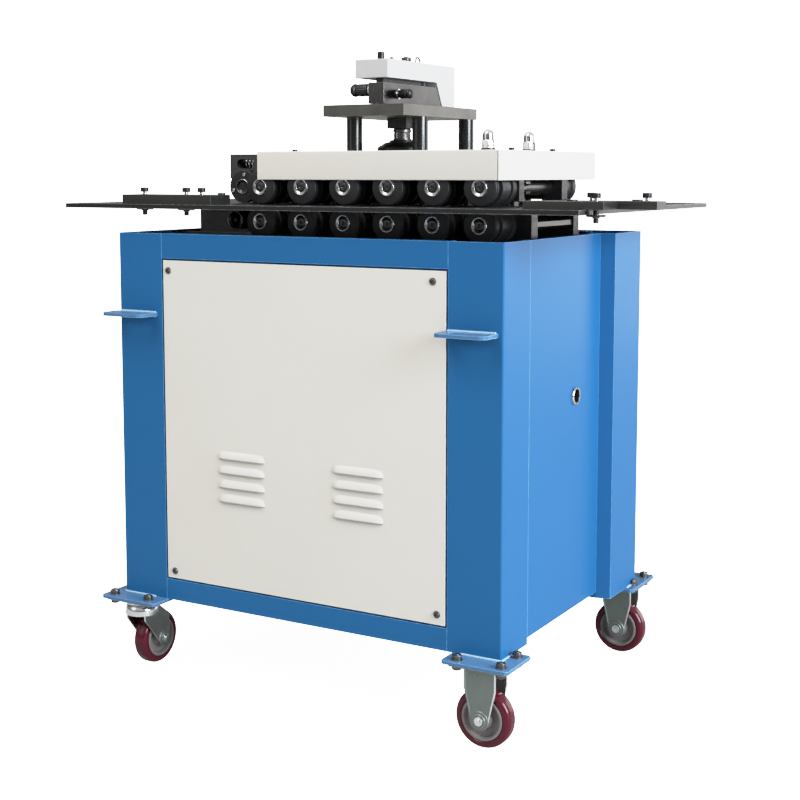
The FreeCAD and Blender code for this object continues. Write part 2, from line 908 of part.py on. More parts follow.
def add_prism(body, name, count, reach, front, length):
    """Add a bar with flat sides on the body's own axis along Y."""
    sketch = new_sketch(body, name, "XZ_Plane", -front)
    regular(sketch, count, reach)
    pad(body, sketch, length, reverse=True)


def roll_shaft(label, x, z, phase, front, back, radius):
    """Shaft of hexagon bar that turns in the plate, with a roll before the plate and a gear behind it."""
    body = new_body(label, x=x, z=z)
    roll = new_sketch(body, "roll", "XZ_Plane", -front)
    circle(roll, 0, 0, radius)
    pad(body, roll, back - front, reverse=True)
    add_prism(body, "bar", 6, shaft_radius, back, rear_plate_front - back - side_clearance)
    add_gear(body, phase)
    return body


roll_back = roll_front + roll_width
drive_front = plate_front - drive_nose
entry_front = plate_front - side_clearance - entry_disc_width
lower_phase = as_size(90)
upper_phase = meshed_phase(lower_phase, as_size(90))
drive_shaft = roll_shaft("drive_shaft", drive_station, lower_axis, lower_phase, drive_front,
                         plate_front - side_clearance, drive_nose_radius)
add_prism(drive_shaft, "sprocket", sprocket_sides, sprocket_reach, sprocket_front, sprocket_width)
roll_shaft("entry_shaft", drive_station, upper_axis, upper_phase, entry_front,
           plate_front - side_clearance, roll_radius)
for index in range(1, station_count + 1):
    idler_phase = meshed_phase(lower_phase, as_size(-45))
    idler = new_body("idler_gear_%d" % index, x=station_x(index) - station_pitch / 2,
                     z=lower_axis - station_pitch / 2)
    add_prism(idler, "stub", 6, idler_stub_reach, gear_front + running_fit - gear_setback, gear_setback)
    add_gear(idler, idler_phase)
    lower_phase = meshed_phase(idler_phase, as_size(45))
    roll_shaft("lower_roll_shaft_%d" % index, station_x(index), lower_axis, lower_phase,
               roll_front, roll_back, roll_radius)
    roll_shaft("upper_roll_shaft_%d" % index, station_x(index), upper_axis,
               meshed_phase(lower_phase, as_size(90)), roll_front, roll_back, roll_radius)


station_places = [station_x(index) for index in range(1, station_count + 1)]


def housing_plate(label, front, wall, outline, axis=None, mouth=None):
    """Housing plate across the machine.

    A plate with an axis has a bore for the shaft at the entry and, at each station, a seat for the
    journal that opens towards the sheet line at the height of its mouth.
    """
    body = new_body(label, y=front)
    sketch = new_sketch(body, "face", "XZ_Plane")
    polygon(sketch, outline)
    if axis is not None:
        circle(sketch, drive_station, axis, shaft_radius + running_fit)
    pad(body, sketch, wall, reverse=True)
    if axis is not None:
        reach = shaft_radius + running_fit
        bottom = axis - reach if mouth.value > axis.value else axis + reach
        seats = new_sketch(body, "journal_seats", "XZ_Plane")
        for x in station_places:
            rectangle(seats, x - reach, bottom, x + reach, mouth)
        pocket(body, seats, wall)
    return body


lower_outline = [(plate_left, beam_top), (plate_right, beam_top),
                 (plate_right, table_bottom), (plate_left, table_bottom)]
housing_plate("lower_front_plate", plate_front, lower_plate_wall, lower_outline, lower_axis, table_bottom)
housing_plate("lower_rear_plate", rear_plate_front, rear_plate_wall, lower_outline)

upper_bottom = sheet_line + upper_plate_bottom_gap
upper_top = cover_top - cover_wall
lobe_left = drive_station - shaft_radius - plate_rim
upper_outline = [
    (lobe_left, upper_bottom), (upper_plate_right, upper_bottom), (upper_plate_right, upper_top),
    (end_tab_left, upper_top), (end_tab_left, end_tab_bottom), (lobe_left, end_tab_bottom),
]
upper_front = housing_plate("upper_front_plate", plate_front, upper_plate_wall, upper_outline,
                            upper_axis, upper_bottom)
window = new_sketch(upper_front, "window", "XZ_Plane")
window_half = (end_window_length - end_window_height) / 2
slot(window, end_window_centre - window_half, end_window_level,
     end_window_centre + window_half, end_window_level, end_window_height / 2)
pocket(upper_front, window, upper_plate_wall)
housing_plate("upper_rear_plate", rear_plate_front, rear_plate_wall, upper_outline)


def beams():
    """Two box beams that carry the housing plates between the sides of the cabinet."""
    members = []
    span = half_width - panel_wall
    for name, front, depth in (("front", plate_front, lower_plate_wall),
                               ("rear", rear_plate_front, rear_plate_wall)):
        body = new_body("beam_" + name, x=-span, kept=False)
        section = new_sketch(body, "section", "YZ_Plane")
        rectangle(section, front, beam_top - beam_height, front + depth, beam_top)
        rectangle(section, front + frame_wall, beam_top - beam_height + frame_wall,
                  front + depth - frame_wall, beam_top - frame_wall)
        pad(body, section, 2 * span)
        members.append(body)
    return members


group("bed_beams", beams())


def plate_spacers():
    """Hexagon bars that hold each pair of housing plates apart, and the feet of the upper plates."""
    members = []
    upper_back = plate_front + upper_plate_wall
    rows = [
        ("lower", lower_plate_back,
         [plate_left + 2 * spacer_reach, plate_right - spacer_reach - side_clearance], lower_axis),
        ("upper", upper_back, [drive_station + 4 * spacer_reach, first_station + 2.5 * station_pitch,
                               upper_plate_right - 2 * spacer_reach],
         upper_top - 2 * spacer_reach),
    ]
    for name, front, places, level in rows:
        for index, x in enumerate(places, 1):
            body = new_body("spacer_%s_%d" % (name, index), x=x, z=level, kept=False)
            add_prism(body, "bar", 6, spacer_reach, front, rear_plate_front - front)
            members.append(body)
    foot = new_body("plate_foot", z=sheet_line, kept=False)
    sketch = new_sketch(foot, "block", "XY_Plane")
    rectangle(sketch, -spacer_reach, -spacer_reach, spacer_reach, spacer_reach)
    pad(foot, sketch, upper_plate_bottom_gap)
    places = []
    for x in (drive_station + station_pitch / 2, first_station + 4.5 * station_pitch):
        for y in (plate_front + upper_plate_wall / 2, rear_plate_front + rear_plate_wall / 2):
            places.append((x, y, 0))
    return members + copies("plate_foot", foot, places)


group("plate_spacers", plate_spacers())


# Cover, table and guides

spindle_x = (flange_plate_left + flange_plate_right) / 2
spindle_y = (flange_plate_front + flange_plate_back) / 2

cover = new_body("roll_cover", z=cover_bottom)
shell = new_sketch(cover, "outside", "XY_Plane")
rectangle(shell, cover_left, cover_front, cover_right, cover_back)
pad(cover, shell, cover_top - cover_bottom)
inside = new_sketch(cover, "inside", "XY_Plane")
rectangle(inside, cover_left, cover_front + cover_wall, cover_right - cover_wall, cover_back - cover_wall)
pocket(cover, inside, cover_top - cover_bottom - cover_wall, reverse=True)
table = new_body("table_plate", z=table_bottom)
table_face = new_sketch(table, "face", "XY_Plane")
rectangle(table_face, table_left, table_front, table_right, table_back)
roll_reach = roll_radius + side_clearance
first_x = station_x(1)
last_x = station_places[-1]
rectangle(table_face, first_x - roll_reach, roll_front - 2 * side_clearance,
          last_x + roll_reach, plate_front - plate_play)
rectangle(table_face, drive_station - tip_radius - side_clearance, lower_plate_back + plate_play,
          last_x + tip_radius + side_clearance, sprocket_front + sprocket_width + 2 * side_clearance)
rectangle(table_face, first_x - roll_reach, rear_plate_back + plate_play,
          last_x + roll_reach, rear_plate_back + rear_window_depth)
pad(table, table_face, table_thickness)

left_screws = [left_screw_outer, left_screw_inner]
right_screws = [right_screw]
guide_middle = guide_front + guide_depth / 2
for number, x in enumerate(left_screws + right_screws, 1):
    travel_slot = new_sketch(table, "guide_slot_%d" % number, "XY_Plane")
    reach = guide_screw_radius + guide_slot_play
    rectangle(travel_slot, x - reach, guide_middle - guide_travel - reach,
              x + reach, guide_middle + guide_travel + reach)
    pocket(table, travel_slot, table_thickness, reverse=True)


def guide_bar(name, left, right, front, depth, height, screws):
    """Guide bar of flat steel, with the clamping screws that pin it to the table.

    A screw shows as a hexagon head on the bar, a shank in the table's slot and a nut below.
    """
    body = new_body(name, y=front, z=sheet_line, kept=False)
    sketch = new_sketch(body, "face", "XY_Plane")
    rectangle(sketch, left, 0, right, depth)
    pad(body, sketch, height)
    for number, x in enumerate(screws, 1):
        head = new_sketch(body, "head_%d" % number, "XY_Plane", height)
        regular(head, 6, guide_head_reach, x, guide_middle - front)
        pad(body, head, guide_head_height)
        shank = new_sketch(body, "shank_%d" % number, "XY_Plane")
        regular(shank, 6, guide_screw_radius, x, guide_middle - front)
        pad(body, shank, table_thickness + guide_nut_height, reverse=True)
        nut = new_sketch(body, "nut_%d" % number, "XY_Plane", -table_thickness)
        regular(nut, 6, guide_head_reach, x, guide_middle - front)
        pad(body, nut, guide_nut_height, reverse=True)
    return body


group("left_guide", [
    guide_bar("left_bar", left_guide_left, left_guide_seam, guide_front, guide_depth, left_guide_height,
              left_screws),
    guide_bar("left_tail", left_guide_seam, left_guide_right, guide_front, guide_depth,
              left_guide_height, []),
])
group("right_guide", [
    guide_bar("right_bar", right_guide_left, right_guide_right, guide_front, guide_depth,
              right_guide_height, right_screws),
    guide_bar("right_tail", right_bar_left, right_bar_right, guide_front + guide_depth, right_bar_depth,
              right_guide_height, []),
])


def acorn_nuts():
    """Tall hexagon nuts that hold the cover and the upper plates down."""
    nut = new_body("acorn_nut", z=cover_top, kept=False)
    flats = new_sketch(nut, "flats", "XY_Plane")
    regular(flats, 6, acorn_reach)
    pad(nut, flats, acorn_height)
    return copies("acorn_nut", nut, [(acorn_x, acorn_front_y, 0), (acorn_x, acorn_rear_y, 0)])


group("acorn_nuts", acorn_nuts())


# Flanging head

flanging_plate = new_body("flanging_plate", z=flange_plate_bottom)
slab = new_sketch(flanging_plate, "slab", "XY_Plane")
rectangle(slab, flange_plate_left, flange_plate_front, flange_plate_right, flange_plate_back)
pad(flanging_plate, slab, flange_plate_wall)
block = new_sketch(flanging_plate, "bearing_block", "XY_Plane")
half_block = block_size / 2
rectangle(block, spindle_x - half_block, spindle_y - half_block,
          spindle_x + half_block, spindle_y + half_block)
pad(flanging_plate, block, block_height, reverse=True)
bearing = new_sketch(flanging_plate, "bearing_bore", "XY_Plane", -block_height)
circle(bearing, spindle_x, spindle_y, spindle_radius + running_fit)
pocket(flanging_plate, bearing, block_height, reverse=True)


def flanging_posts():
    """Four round posts between cover and flanging plate."""
    post = new_body("flanging_post", z=cover_top, kept=False)
    sketch = new_sketch(post, "round", "XY_Plane")
    circle(sketch, 0, 0, flange_post_radius)
    pad(post, sketch, flange_plate_bottom - cover_top)
    places = []
    for x in (flange_plate_left + flange_post_radius, flange_plate_right - flange_post_radius):
        for y in (flange_post_front, flange_post_back):
            places.append((x, y, 0))
    return copies("flanging_post", post, places)


group("flanging_posts", flanging_posts())

lever_left = arm_right - lever_width
lever_middle = arm_right - lever_width / 2
lever_low = plate_level + lever_play
lever_height = arm_low - lever_top_play - lever_low

arm = new_body("arm_beam", x=arm_left, kept=False)
arm_section = new_sketch(arm, "section", "YZ_Plane")
polygon(arm_section, [
    (arm_front, arm_low), (arm_slope_top, arm_low), (arm_slope_bottom, plate_level),
    (arm_back, plate_level), (arm_back, arm_top), (arm_front, arm_top),
])
pad(arm, arm_section, arm_right - arm_left)
pivot_bolt = new_body("pivot_bolt", x=lever_middle, y=lever_pivot, z=plate_level, kept=False)
pivot_shank = new_sketch(pivot_bolt, "shank", "XY_Plane")
circle(pivot_shank, 0, 0, pivot_radius)
pad(pivot_bolt, pivot_shank, arm_low - plate_level)
group("flanging_arm", [arm, pivot_bolt])


def arm_fasteners():
    """Cap screw, plug, nut and lifting eye in a row on top of the arm."""
    middle = (arm_left + arm_right) / 2
    members = []
    for name, reach, height, y in (("cap", arm_cap_reach, arm_cap_height, arm_cap_place),
                                   ("plug", arm_plug_reach, arm_plug_height, arm_plug_place),
                                   ("nut", arm_nut_reach, arm_nut_height, arm_nut_place)):
        body = new_body("arm_" + name, x=middle, y=y, z=arm_top, kept=False)
        flats = new_sketch(body, "flats", "XY_Plane")
        regular(flats, 6, reach)
        pad(body, flats, height)
        members.append(body)
    eye = new_body("arm_eye", x=middle - arm_eye_wall / 2, y=arm_eye_place,
                   z=arm_top + arm_eye_reach * cosine(as_size(15)), kept=False)
    ring = new_sketch(eye, "ring", "YZ_Plane")
    regular(ring, 12, arm_eye_reach)
    regular(ring, 12, arm_eye_hole)
    pad(eye, ring, arm_eye_wall)
    return members + [eye]


group("arm_fasteners", arm_fasteners())


def flanging_lever():
    """Lever bar under the arm, turning about the pivot bolt, with its grip and its side knob."""
    bar = new_body("lever_bar", z=lever_low, kept=False)
    sketch = new_sketch(bar, "face", "XY_Plane")
    rectangle(sketch, lever_left, lever_front, arm_right, lever_back)
    circle(sketch, lever_middle, lever_pivot, pivot_radius + running_fit)
    pad(bar, sketch, lever_height)
    centre_z = lever_low + lever_height / 2
    rods = [
        ("grip", lever_left, lever_front + grip_back, centre_z + grip_lift,
         grip_radius, grip_length, True),
        ("knob", arm_right, lever_front + side_knob_back, centre_z,
         side_knob_radius, side_knob_length, False),
    ]
    members = [bar]
    for name, x, y, z, radius, length, leftwards in rods:
        rod = new_body(name, x=x, y=y, z=z, kept=False)
        sketch = new_sketch(rod, "round", "YZ_Plane")
        circle(sketch, 0, 0, radius)
        pad(rod, sketch, length, reverse=leftwards)
        members.append(rod)
    group("flanging_lever", members)


flanging_lever()

spindle = new_body("flanging_spindle", x=spindle_x, y=spindle_y, z=cover_top + dish_gap)
spindle_top = flange_plate_bottom - cover_top - dish_gap - running_fit
dish = new_sketch(spindle, "dish", "XY_Plane")
circle(dish, 0, 0, dish_radius)
pad(spindle, dish, dish_height)
shaft = new_sketch(spindle, "shaft", "XY_Plane", dish_height)
regular(shaft, 6, spindle_radius)
pad(spindle, shaft, spindle_top - dish_height)


# Drive: gear motor on the floor pan, sprocket and chain

pan_top = cabinet_base + 2 * frame_wall
gearbox_front = sprocket_front + sprocket_width + gear_setback
gear_motor = new_body("gear_motor", x=drive_station, y=gearbox_front)
casing = new_sketch(gear_motor, "casing", "XZ_Plane")
half_box = gearbox_width / 2
shoulder = gearbox_width / 4
box_top = pan_top + gearbox_height
polygon(casing, [
    (-half_box, pan_top), (half_box, pan_top), (half_box, box_top - shoulder), (half_box - shoulder, box_top),
    (shoulder - half_box, box_top), (-half_box, box_top - shoulder),
])
pad(gear_motor, casing, gearbox_depth, reverse=True)
foot = new_sketch(gear_motor, "foot", "XY_Plane", pan_top)
rectangle(foot, -half_box - foot_reach, 0, half_box + foot_reach, gearbox_depth)
pad(gear_motor, foot, foot_height)
barrel = new_sketch(gear_motor, "barrel", "YZ_Plane", half_box)
circle(barrel, gearbox_depth / 2, motor_level, motor_radius)
pad(gear_motor, barrel, motor_length)

motor_sprocket = new_body("motor_sprocket", x=drive_station, z=motor_level)
add_prism(motor_sprocket, "wheel", sprocket_sides, sprocket_reach, sprocket_front, sprocket_width)
add_prism(motor_sprocket, "hub", 6, shaft_radius, sprocket_front + sprocket_width,
          gear_setback - running_fit)


def chain_loop(sketch, reach):
    """Close the chain's path round both sprockets, with the flats of a roller chain."""
    corner = reach / cosine(as_size(180 / sprocket_sides))
    half = sprocket_sides // 2
    points = []
    for level, first in ((motor_level, half), (lower_axis, 0)):
        for index in range(half + 1):
            angle = as_size(360 / sprocket_sides * (first + index))
            points.append((corner * cosine(angle), level + corner * sine(angle)))
    polygon(sketch, points)


drive_chain = new_body("drive_chain", x=drive_station, y=sprocket_front)
loop = new_sketch(drive_chain, "loop", "XZ_Plane")
chain_loop(loop, sprocket_reach + running_fit + chain_thickness)
chain_loop(loop, sprocket_reach + running_fit)
pad(drive_chain, loop, sprocket_width, reverse=True)


window_spring = new_body("window_spring", x=end_window_centre - spring_length / 2,
                         y=plate_front + upper_plate_wall + spring_radius, z=end_window_level)
coil = new_sketch(window_spring, "coil", "YZ_Plane")
regular(coil, 12, spring_radius)
pad(window_spring, coil, spring_length)
doc.recompute()


def write_parts():
    """Check every object and every sub-part, then write one file for each sub-part."""
    for item in doc.Objects:
        if "Invalid" in item.State or "Error" in item.State:
            raise RuntimeError("%s did not build: %s" % (item.Label, item.State))
    for item in parts:
        if item.Shape.isNull() or not item.Shape.isValid() or not item.Shape.Solids:
            raise RuntimeError("%s has no valid solid" % item.Label)
    os.makedirs("parts", exist_ok=True)
    for item in parts:
        item.Shape.exportStep("parts/%s.step" % item.Label)
    print("%d sub-parts written" % len(parts))


write_parts()
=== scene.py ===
"""A duct lock former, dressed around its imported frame.

A blue cabinet on four casters carries the roll head, the table with its guides and the flanging head.
Sizes are millimetres from the middle of the cabinet on the floor, with +Z up, until a piece is placed.
"""

from __future__ import annotations

import logging
import math
from dataclasses import dataclass, field
from enum import Enum
from typing import Callable, NamedTuple, Sequence, Union

import bpy
import numpy as np
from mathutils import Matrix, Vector
from mathutils.geometry import tessellate_polygon


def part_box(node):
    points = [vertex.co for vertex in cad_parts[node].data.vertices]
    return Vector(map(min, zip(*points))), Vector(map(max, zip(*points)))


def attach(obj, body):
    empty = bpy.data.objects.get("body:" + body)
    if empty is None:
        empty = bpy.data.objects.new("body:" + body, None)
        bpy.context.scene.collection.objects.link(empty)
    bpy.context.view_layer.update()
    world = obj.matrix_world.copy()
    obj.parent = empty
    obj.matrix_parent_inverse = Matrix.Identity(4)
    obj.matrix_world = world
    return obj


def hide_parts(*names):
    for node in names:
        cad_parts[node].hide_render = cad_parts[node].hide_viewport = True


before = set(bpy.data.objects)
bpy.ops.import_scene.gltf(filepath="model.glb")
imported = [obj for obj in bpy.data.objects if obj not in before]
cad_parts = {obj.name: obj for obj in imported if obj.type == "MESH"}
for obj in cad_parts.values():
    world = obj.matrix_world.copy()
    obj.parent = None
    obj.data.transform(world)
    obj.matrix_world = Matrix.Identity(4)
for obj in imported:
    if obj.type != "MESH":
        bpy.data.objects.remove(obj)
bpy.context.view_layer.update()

log = logging.getLogger("lock_former")

MM = 0.001
SIDES = 48
HEX_SIDES = 24
CREASE = math.radians(32)

Point = Sequence[float]
Outline = np.ndarray
Radius = Union[float, Callable[[np.ndarray], np.ndarray]]
Colour = tuple[float, float, float]
Node = bpy.types.Node
Socket = bpy.types.NodeSocket
Tree = bpy.types.NodeTree


# Shapes worked out as arrays


class Axis(Enum):
    """Where a shape's own u, v and w go among x, y and z."""

    X = (1, 2, 0)
    Y = (0, 2, 1)
    Z = (0, 1, 2)


class Shape(NamedTuple):
    """A closed surface: its points, and its faces in arrays of equal corner count."""

    points: np.ndarray
    faces: list[np.ndarray]


def outward(shape: Shape) -> Shape:
    """Turn a closed shape's faces outwards.

    The volume is the sum over each face's fan of triangles of a . (b x c) / 6, and has to be positive.

    Args:
        shape: the closed surface, wound one way all over.

    Returns:
        The same surface with its faces pointing outwards.
    """
    volume = 0.0
    for block in shape.faces:
        corner = shape.points[block]
        for k in range(1, block.shape[1] - 1):
            volume += np.einsum("ij,ij->", corner[:, 0], np.cross(corner[:, k], corner[:, k + 1]))
    if volume < 0:
        return Shape(shape.points, [block[:, ::-1] for block in shape.faces])
    return shape


def seat(local: np.ndarray, axis: Axis, centre: Point) -> np.ndarray:
    """Turn u, v, w into x, y, z along the axis and move them to the centre.

    Args:
        local: points in the shape's own u, v, w.
        axis: where those go among x, y and z.
        centre: where the shape's own origin goes.

    Returns:
        The points in x, y, z.
    """
    placed = np.empty_like(local)
    placed[:, list(axis.value)] = local
    return placed + np.asarray(centre, float)


def lattice(rows: int, columns: int, wrap_rows: bool, wrap_columns: bool) -> np.ndarray:
    """Quads of a grid of rows and columns, each joining (i, j), (i, j+1), (i+1, j+1) and (i+1, j).

    Args:
        rows: rows of points.
        columns: points in each row.
        wrap_rows: whether the last row joins the first.
        wrap_columns: whether the last column joins the first.

    Returns:
        One row of four point numbers for each quad.
    """
    i, j = np.meshgrid(np.arange(rows - (not wrap_rows)), np.arange(columns - (not wrap_columns)),
                       indexing="ij")
    below, beside = (i + 1) % rows, (j + 1) % columns
    corners = [i * columns + j, i * columns + beside, below * columns + beside, below * columns + j]
    return np.stack(corners, axis=-1).reshape(-1, 4)


def sleeve(rows: int, sides: int, ring: bool) -> list[np.ndarray]:
    """Faces of a wall of rings, with flat caps at both ends unless the last ring joins the first.

    Args:
        rows: number of rings.
        sides: points in each ring.
        ring: whether the last ring joins the first.

    Returns:
        The wall's quads, and the two caps if there are any.
    """
    faces = [lattice(rows, sides, ring, True)]
    if not ring:
        caps = np.arange(sides)
        faces.append(np.stack([caps[::-1], caps + (rows - 1) * sides]))
    return faces


def spun(rows: Sequence[tuple[Radius, float]], centre: Point, axis: Axis = Axis.Z, sides: int = SIDES,
         ring: bool = False, sign: float = 1) -> Shape:
    """Surface of revolution: row (r, h) at angle t gives the point (r cos t, r sin t, h).

    Args:
        rows: radius and height of each row; a radius may be a function of the angle.
        centre: where the shape's own origin goes.
        axis: the axis of revolution.
        sides: points round the axis.
        ring: whether the last row joins the first, as on a ring; else flat caps close both ends.
        sign: -1 where the heights count down the axis.

    Returns:
        The closed surface.
    """
    angle = np.linspace(0, 2 * np.pi, sides, endpoint=False)
    reach = np.array([r(angle) if callable(r) else np.full(sides, float(r)) for r, _ in rows])
    level = np.repeat(np.array([[sign * float(h)] for _, h in rows]), sides, axis=1)
    grid = np.stack([reach * np.cos(angle), reach * np.sin(angle), level], axis=-1)
    return outward(Shape(seat(grid.reshape(-1, 3), axis, centre), sleeve(len(rows), sides, ring)))


def flats(count: int, across: float, turn: float = 0.0) -> Callable[[np.ndarray], np.ndarray]:
    """Radius of a regular polygon: half its width over flats, over the cosine of the angle from a flat."""
    step = 2 * np.pi / count
    return lambda t: across / 2 / np.cos((t - turn) % step - step / 2)


def dulled(shape: Callable[[np.ndarray], np.ndarray], limit: float) -> Callable[[np.ndarray], np.ndarray]:
    """A polygon's radius with its corners cut back to a circle."""
    return lambda t: np.minimum(shape(t), limit)


def fluted(reach: float, depth: float, count: int) -> Callable[[np.ndarray], np.ndarray]:
    """Radius of a fluted bar: reach (1 + depth cos(count t))."""
    return lambda t: reach * (1 + depth * np.cos(count * t))


def slotted(reach: float, depth: float, count: int, share: float) -> Callable[[np.ndarray], np.ndarray]:
    """Radius of a slotted ring: the depth less over a share of each of the count steps."""
    return lambda t: reach - depth * (np.abs((t * count / np.pi) % 2 - 1) < share)


def signed_area(outline: Outline) -> float:
    """Area of a closed outline, positive where it runs anticlockwise."""
    following = np.roll(outline, -1, axis=0)
    return float(np.sum(outline[:, 0] * following[:, 1] - following[:, 0] * outline[:, 1]) / 2)


def prism(outline: Outline, low: float, high: float, axis: Axis = Axis.Z, centre: Point = (0, 0, 0),
          holes: Sequence[Outline] = ()) -> Shape:
    """Straight bar of one outline: its wall joins the outline at the low and at the high end.

    Args:
        outline: points (u, v) round the section.
        low: where along the axis it starts.
        high: where along the axis it ends.
        axis: which way it runs.
        centre: where the outline's own origin goes.
        holes: outlines cut through the section.

    Returns:
        The closed surface.
    """
    loops = [np.asarray(outline, float)] + [np.asarray(hole, float) for hole in holes]
    loops = [loop if (signed_area(loop) > 0) == (k == 0) else loop[::-1] for k, loop in enumerate(loops)]
    flat = np.concatenate(loops)
    count = len(flat)
    walls, start = [], 0
    for loop in loops:
        here = start + np.arange(len(loop))
        there = start + (np.arange(len(loop)) + 1) % len(loop)
        walls.append(np.stack([here, there, there + count, here + count], axis=-1))
        start += len(loop)
    if holes:
        rings = [[Vector((u, v, 0)) for u, v in loop.tolist()] for loop in loops]
        cap = np.array(tessellate_polygon(rings))
        a, b, c = flat[cap[:, 0]], flat[cap[:, 1]], flat[cap[:, 2]]
        ahead, beside = b - a, c - a
        turned = ahead[:, 0] * beside[:, 1] - ahead[:, 1] * beside[:, 0] < 0
        cap[turned] = cap[turned][:, ::-1]
    else:
        cap = np.arange(count)[None, :]
    levels = np.repeat([low, high], count)[:, None]
    local = np.hstack([np.tile(flat, (2, 1)), levels])
    return outward(Shape(seat(local, axis, centre), walls + [cap[:, ::-1], cap + count]))


def rectangle(left: float, low: float, right: float, high: float) -> Outline:
    """Four corners of an upright rectangle."""
    return np.array([(left, low), (right, low), (right, high), (left, high)], float)


def block(low: Point, high: Point) -> Shape:
    """Rectangular bar between two corners."""
    return prism(rectangle(low[0], low[1], high[0], high[1]), low[2], high[2])


def round_outline(radius: float, u: float = 0, v: float = 0, sides: int = HEX_SIDES) -> Outline:
    """Circle of points: (u + r cos t, v + r sin t)."""
    angle = np.linspace(0, 2 * np.pi, sides, endpoint=False)
    return np.stack([u + radius * np.cos(angle), v + radius * np.sin(angle)], axis=-1)


def wrapped(circles: Sequence[tuple[float, float, float]], steps: int = 64) -> Outline:
    """Outline of a taut band round some circles.

    In each direction (cos t, sin t) the circle that reaches farthest gives the point.

    Args:
        circles: (u, v, radius) of each circle.
        steps: directions tried.

    Returns:
        The band's points, anticlockwise.
    """
    angle = np.linspace(0, 2 * np.pi, steps, endpoint=False)
    way = np.stack([np.cos(angle), np.sin(angle)], axis=-1)
    rounds = np.asarray(circles, float)
    best = np.argmax(way @ rounds[:, :2].T + rounds[:, 2], axis=1)
    return rounds[best, :2] + rounds[best, 2:] * way


def slot_outline(u: float, v: float, length: float, width: float) -> Outline:
    """Long hole with round ends, lying along u."""
    run = (length - width) / 2
    return wrapped([(u - run, v, width / 2), (u + run, v, width / 2)], 32)


def tube(path: np.ndarray, reach: Union[float, np.ndarray], up: np.ndarray, sides: int = 12,
         ring: bool = False) -> Shape:
    """Round bar along a path: path + r (cos t side + sin t lift), where side = tangent x up.

    Args:
        path: points of the centre line.
        reach: radius, one for all or one for each point.
        up: a direction that the path never takes, one for all or one for each point.
        sides: points round the bar.
        ring: whether the path closes on itself.

    Returns:
        The closed surface.
    """
    ahead = np.roll(path, -1, axis=0) - np.roll(path, 1, axis=0) if ring else np.gradient(path, axis=0)
    ahead = ahead / np.linalg.norm(ahead, axis=1, keepdims=True)
    side = np.cross(ahead, np.broadcast_to(up, path.shape))
    side = side / np.linalg.norm(side, axis=1, keepdims=True)
    lift = np.cross(side, ahead)
    angle = np.linspace(0, 2 * np.pi, sides, endpoint=False)[None, :, None]
    size = np.broadcast_to(np.asarray(reach, float), (len(path),))[:, None, None]
    grid = path[:, None] + size * (np.cos(angle) * side[:, None] + np.sin(angle) * lift[:, None])
    return outward(Shape(grid.reshape(-1, 3), sleeve(len(path), sides, ring)))


def bead(start: Point, end: Point, reach: float = 2.2, ripple: float = 4.0) -> Shape:
    """Weld bead: a bar whose radius swells with each ripple, as r (1 + 0.18 |sin|), and ends thin.

    Args:
        start: where the bead starts.
        end: where it ends.
        reach: its radius between the ripples.
        ripple: length of one ripple.

    Returns:
        The closed surface.
    """
    first, last = np.asarray(start, float), np.asarray(end, float)
    length = float(np.linalg.norm(last - first))
    run = np.linspace(0, 1, max(8, int(length / ripple * 4)))
    path = first + run[:, None] * (last - first)
    swell = reach * (1 + 0.18 * np.abs(np.sin(np.pi * run * length / ripple)))
    swell[[0, -1]] *= 0.4
    return tube(path, swell, np.array([0.0, 0.0, 1.0]), 8)


def toothed(count: int, tip: float, root: float, phase: float) -> Outline:
    """Outline of a gear: each tooth is a trapezoid from the root circle to the tip circle.

    Args:
        count: number of teeth.
        tip: radius over the tips.
        root: radius at the roots.
        phase: degrees from u towards v to the middle of a tooth.

    Returns:
        Four points for each tooth.
    """
    step = 2 * np.pi / count
    share = np.array([-0.30, -0.115, 0.115, 0.30])
    reach = np.array([root, tip, tip, root])
    angle = (math.radians(phase) + step * (np.arange(count)[:, None] + share)).ravel()
    radius = np.tile(reach, count)
    return np.stack([radius * np.cos(angle), radius * np.sin(angle)], axis=-1)


# Parts bought by the handful


def hex_bolt(centre: Point, across: float, height: float, axis: Axis = Axis.Z, sign: float = 1,
             washer: float = 0, turn: float = 0.3) -> list[Shape]:
    """Hexagon head or nut with dulled corners and the thread's end, on a washer if one is asked for.

    Args:
        centre: middle of its seat.
        across: width over flats.
        height: height of the hexagon.
        axis: the bolt's axis.
        sign: -1 where it stands down the axis.
        washer: radius of the washer, 0 for none.
        turn: angle in radians from u to the middle of a flat.

    Returns:
        The hexagon, and the washer if there is one.
    """
    side = flats(6, across, turn)
    lip = 0.12 * across
    base = 1.6 if washer else 0.0
    rows = [(dulled(side, across * 0.53), base), (side, base + lip * 0.5), (side, base + height - lip * 0.6),
            (dulled(side, across * 0.5), base + height), (across * 0.28, base + height),
            (across * 0.26, base + height + 1.6)]
    shapes = [spun(rows, centre, axis, HEX_SIDES, sign=sign)]
    if washer:
        disc = [(washer, 0), (washer, 1.2), (washer - 0.6, base)]
        shapes.append(spun(disc, centre, axis, HEX_SIDES, sign=sign))
    return shapes


def socket_screw(centre: Point, reach: float, height: float, axis: Axis = Axis.Z, sign: float = 1) -> Shape:
    """Cap screw with a hexagon socket, its rim chamfered.

    Args:
        centre: middle of its seat.
        reach: radius of the head.
        height: height of the head.
        axis: the screw's axis.
        sign: -1 where it stands down the axis.

    Returns:
        The head.
    """
    key = flats(6, reach * 1.05)
    rows = [(reach, 0), (reach, height - 0.7), (reach - 0.7, height), (key, height), (key, height * 0.35)]
    return spun(rows, centre, axis, HEX_SIDES, sign=sign)


# Wiring of materials


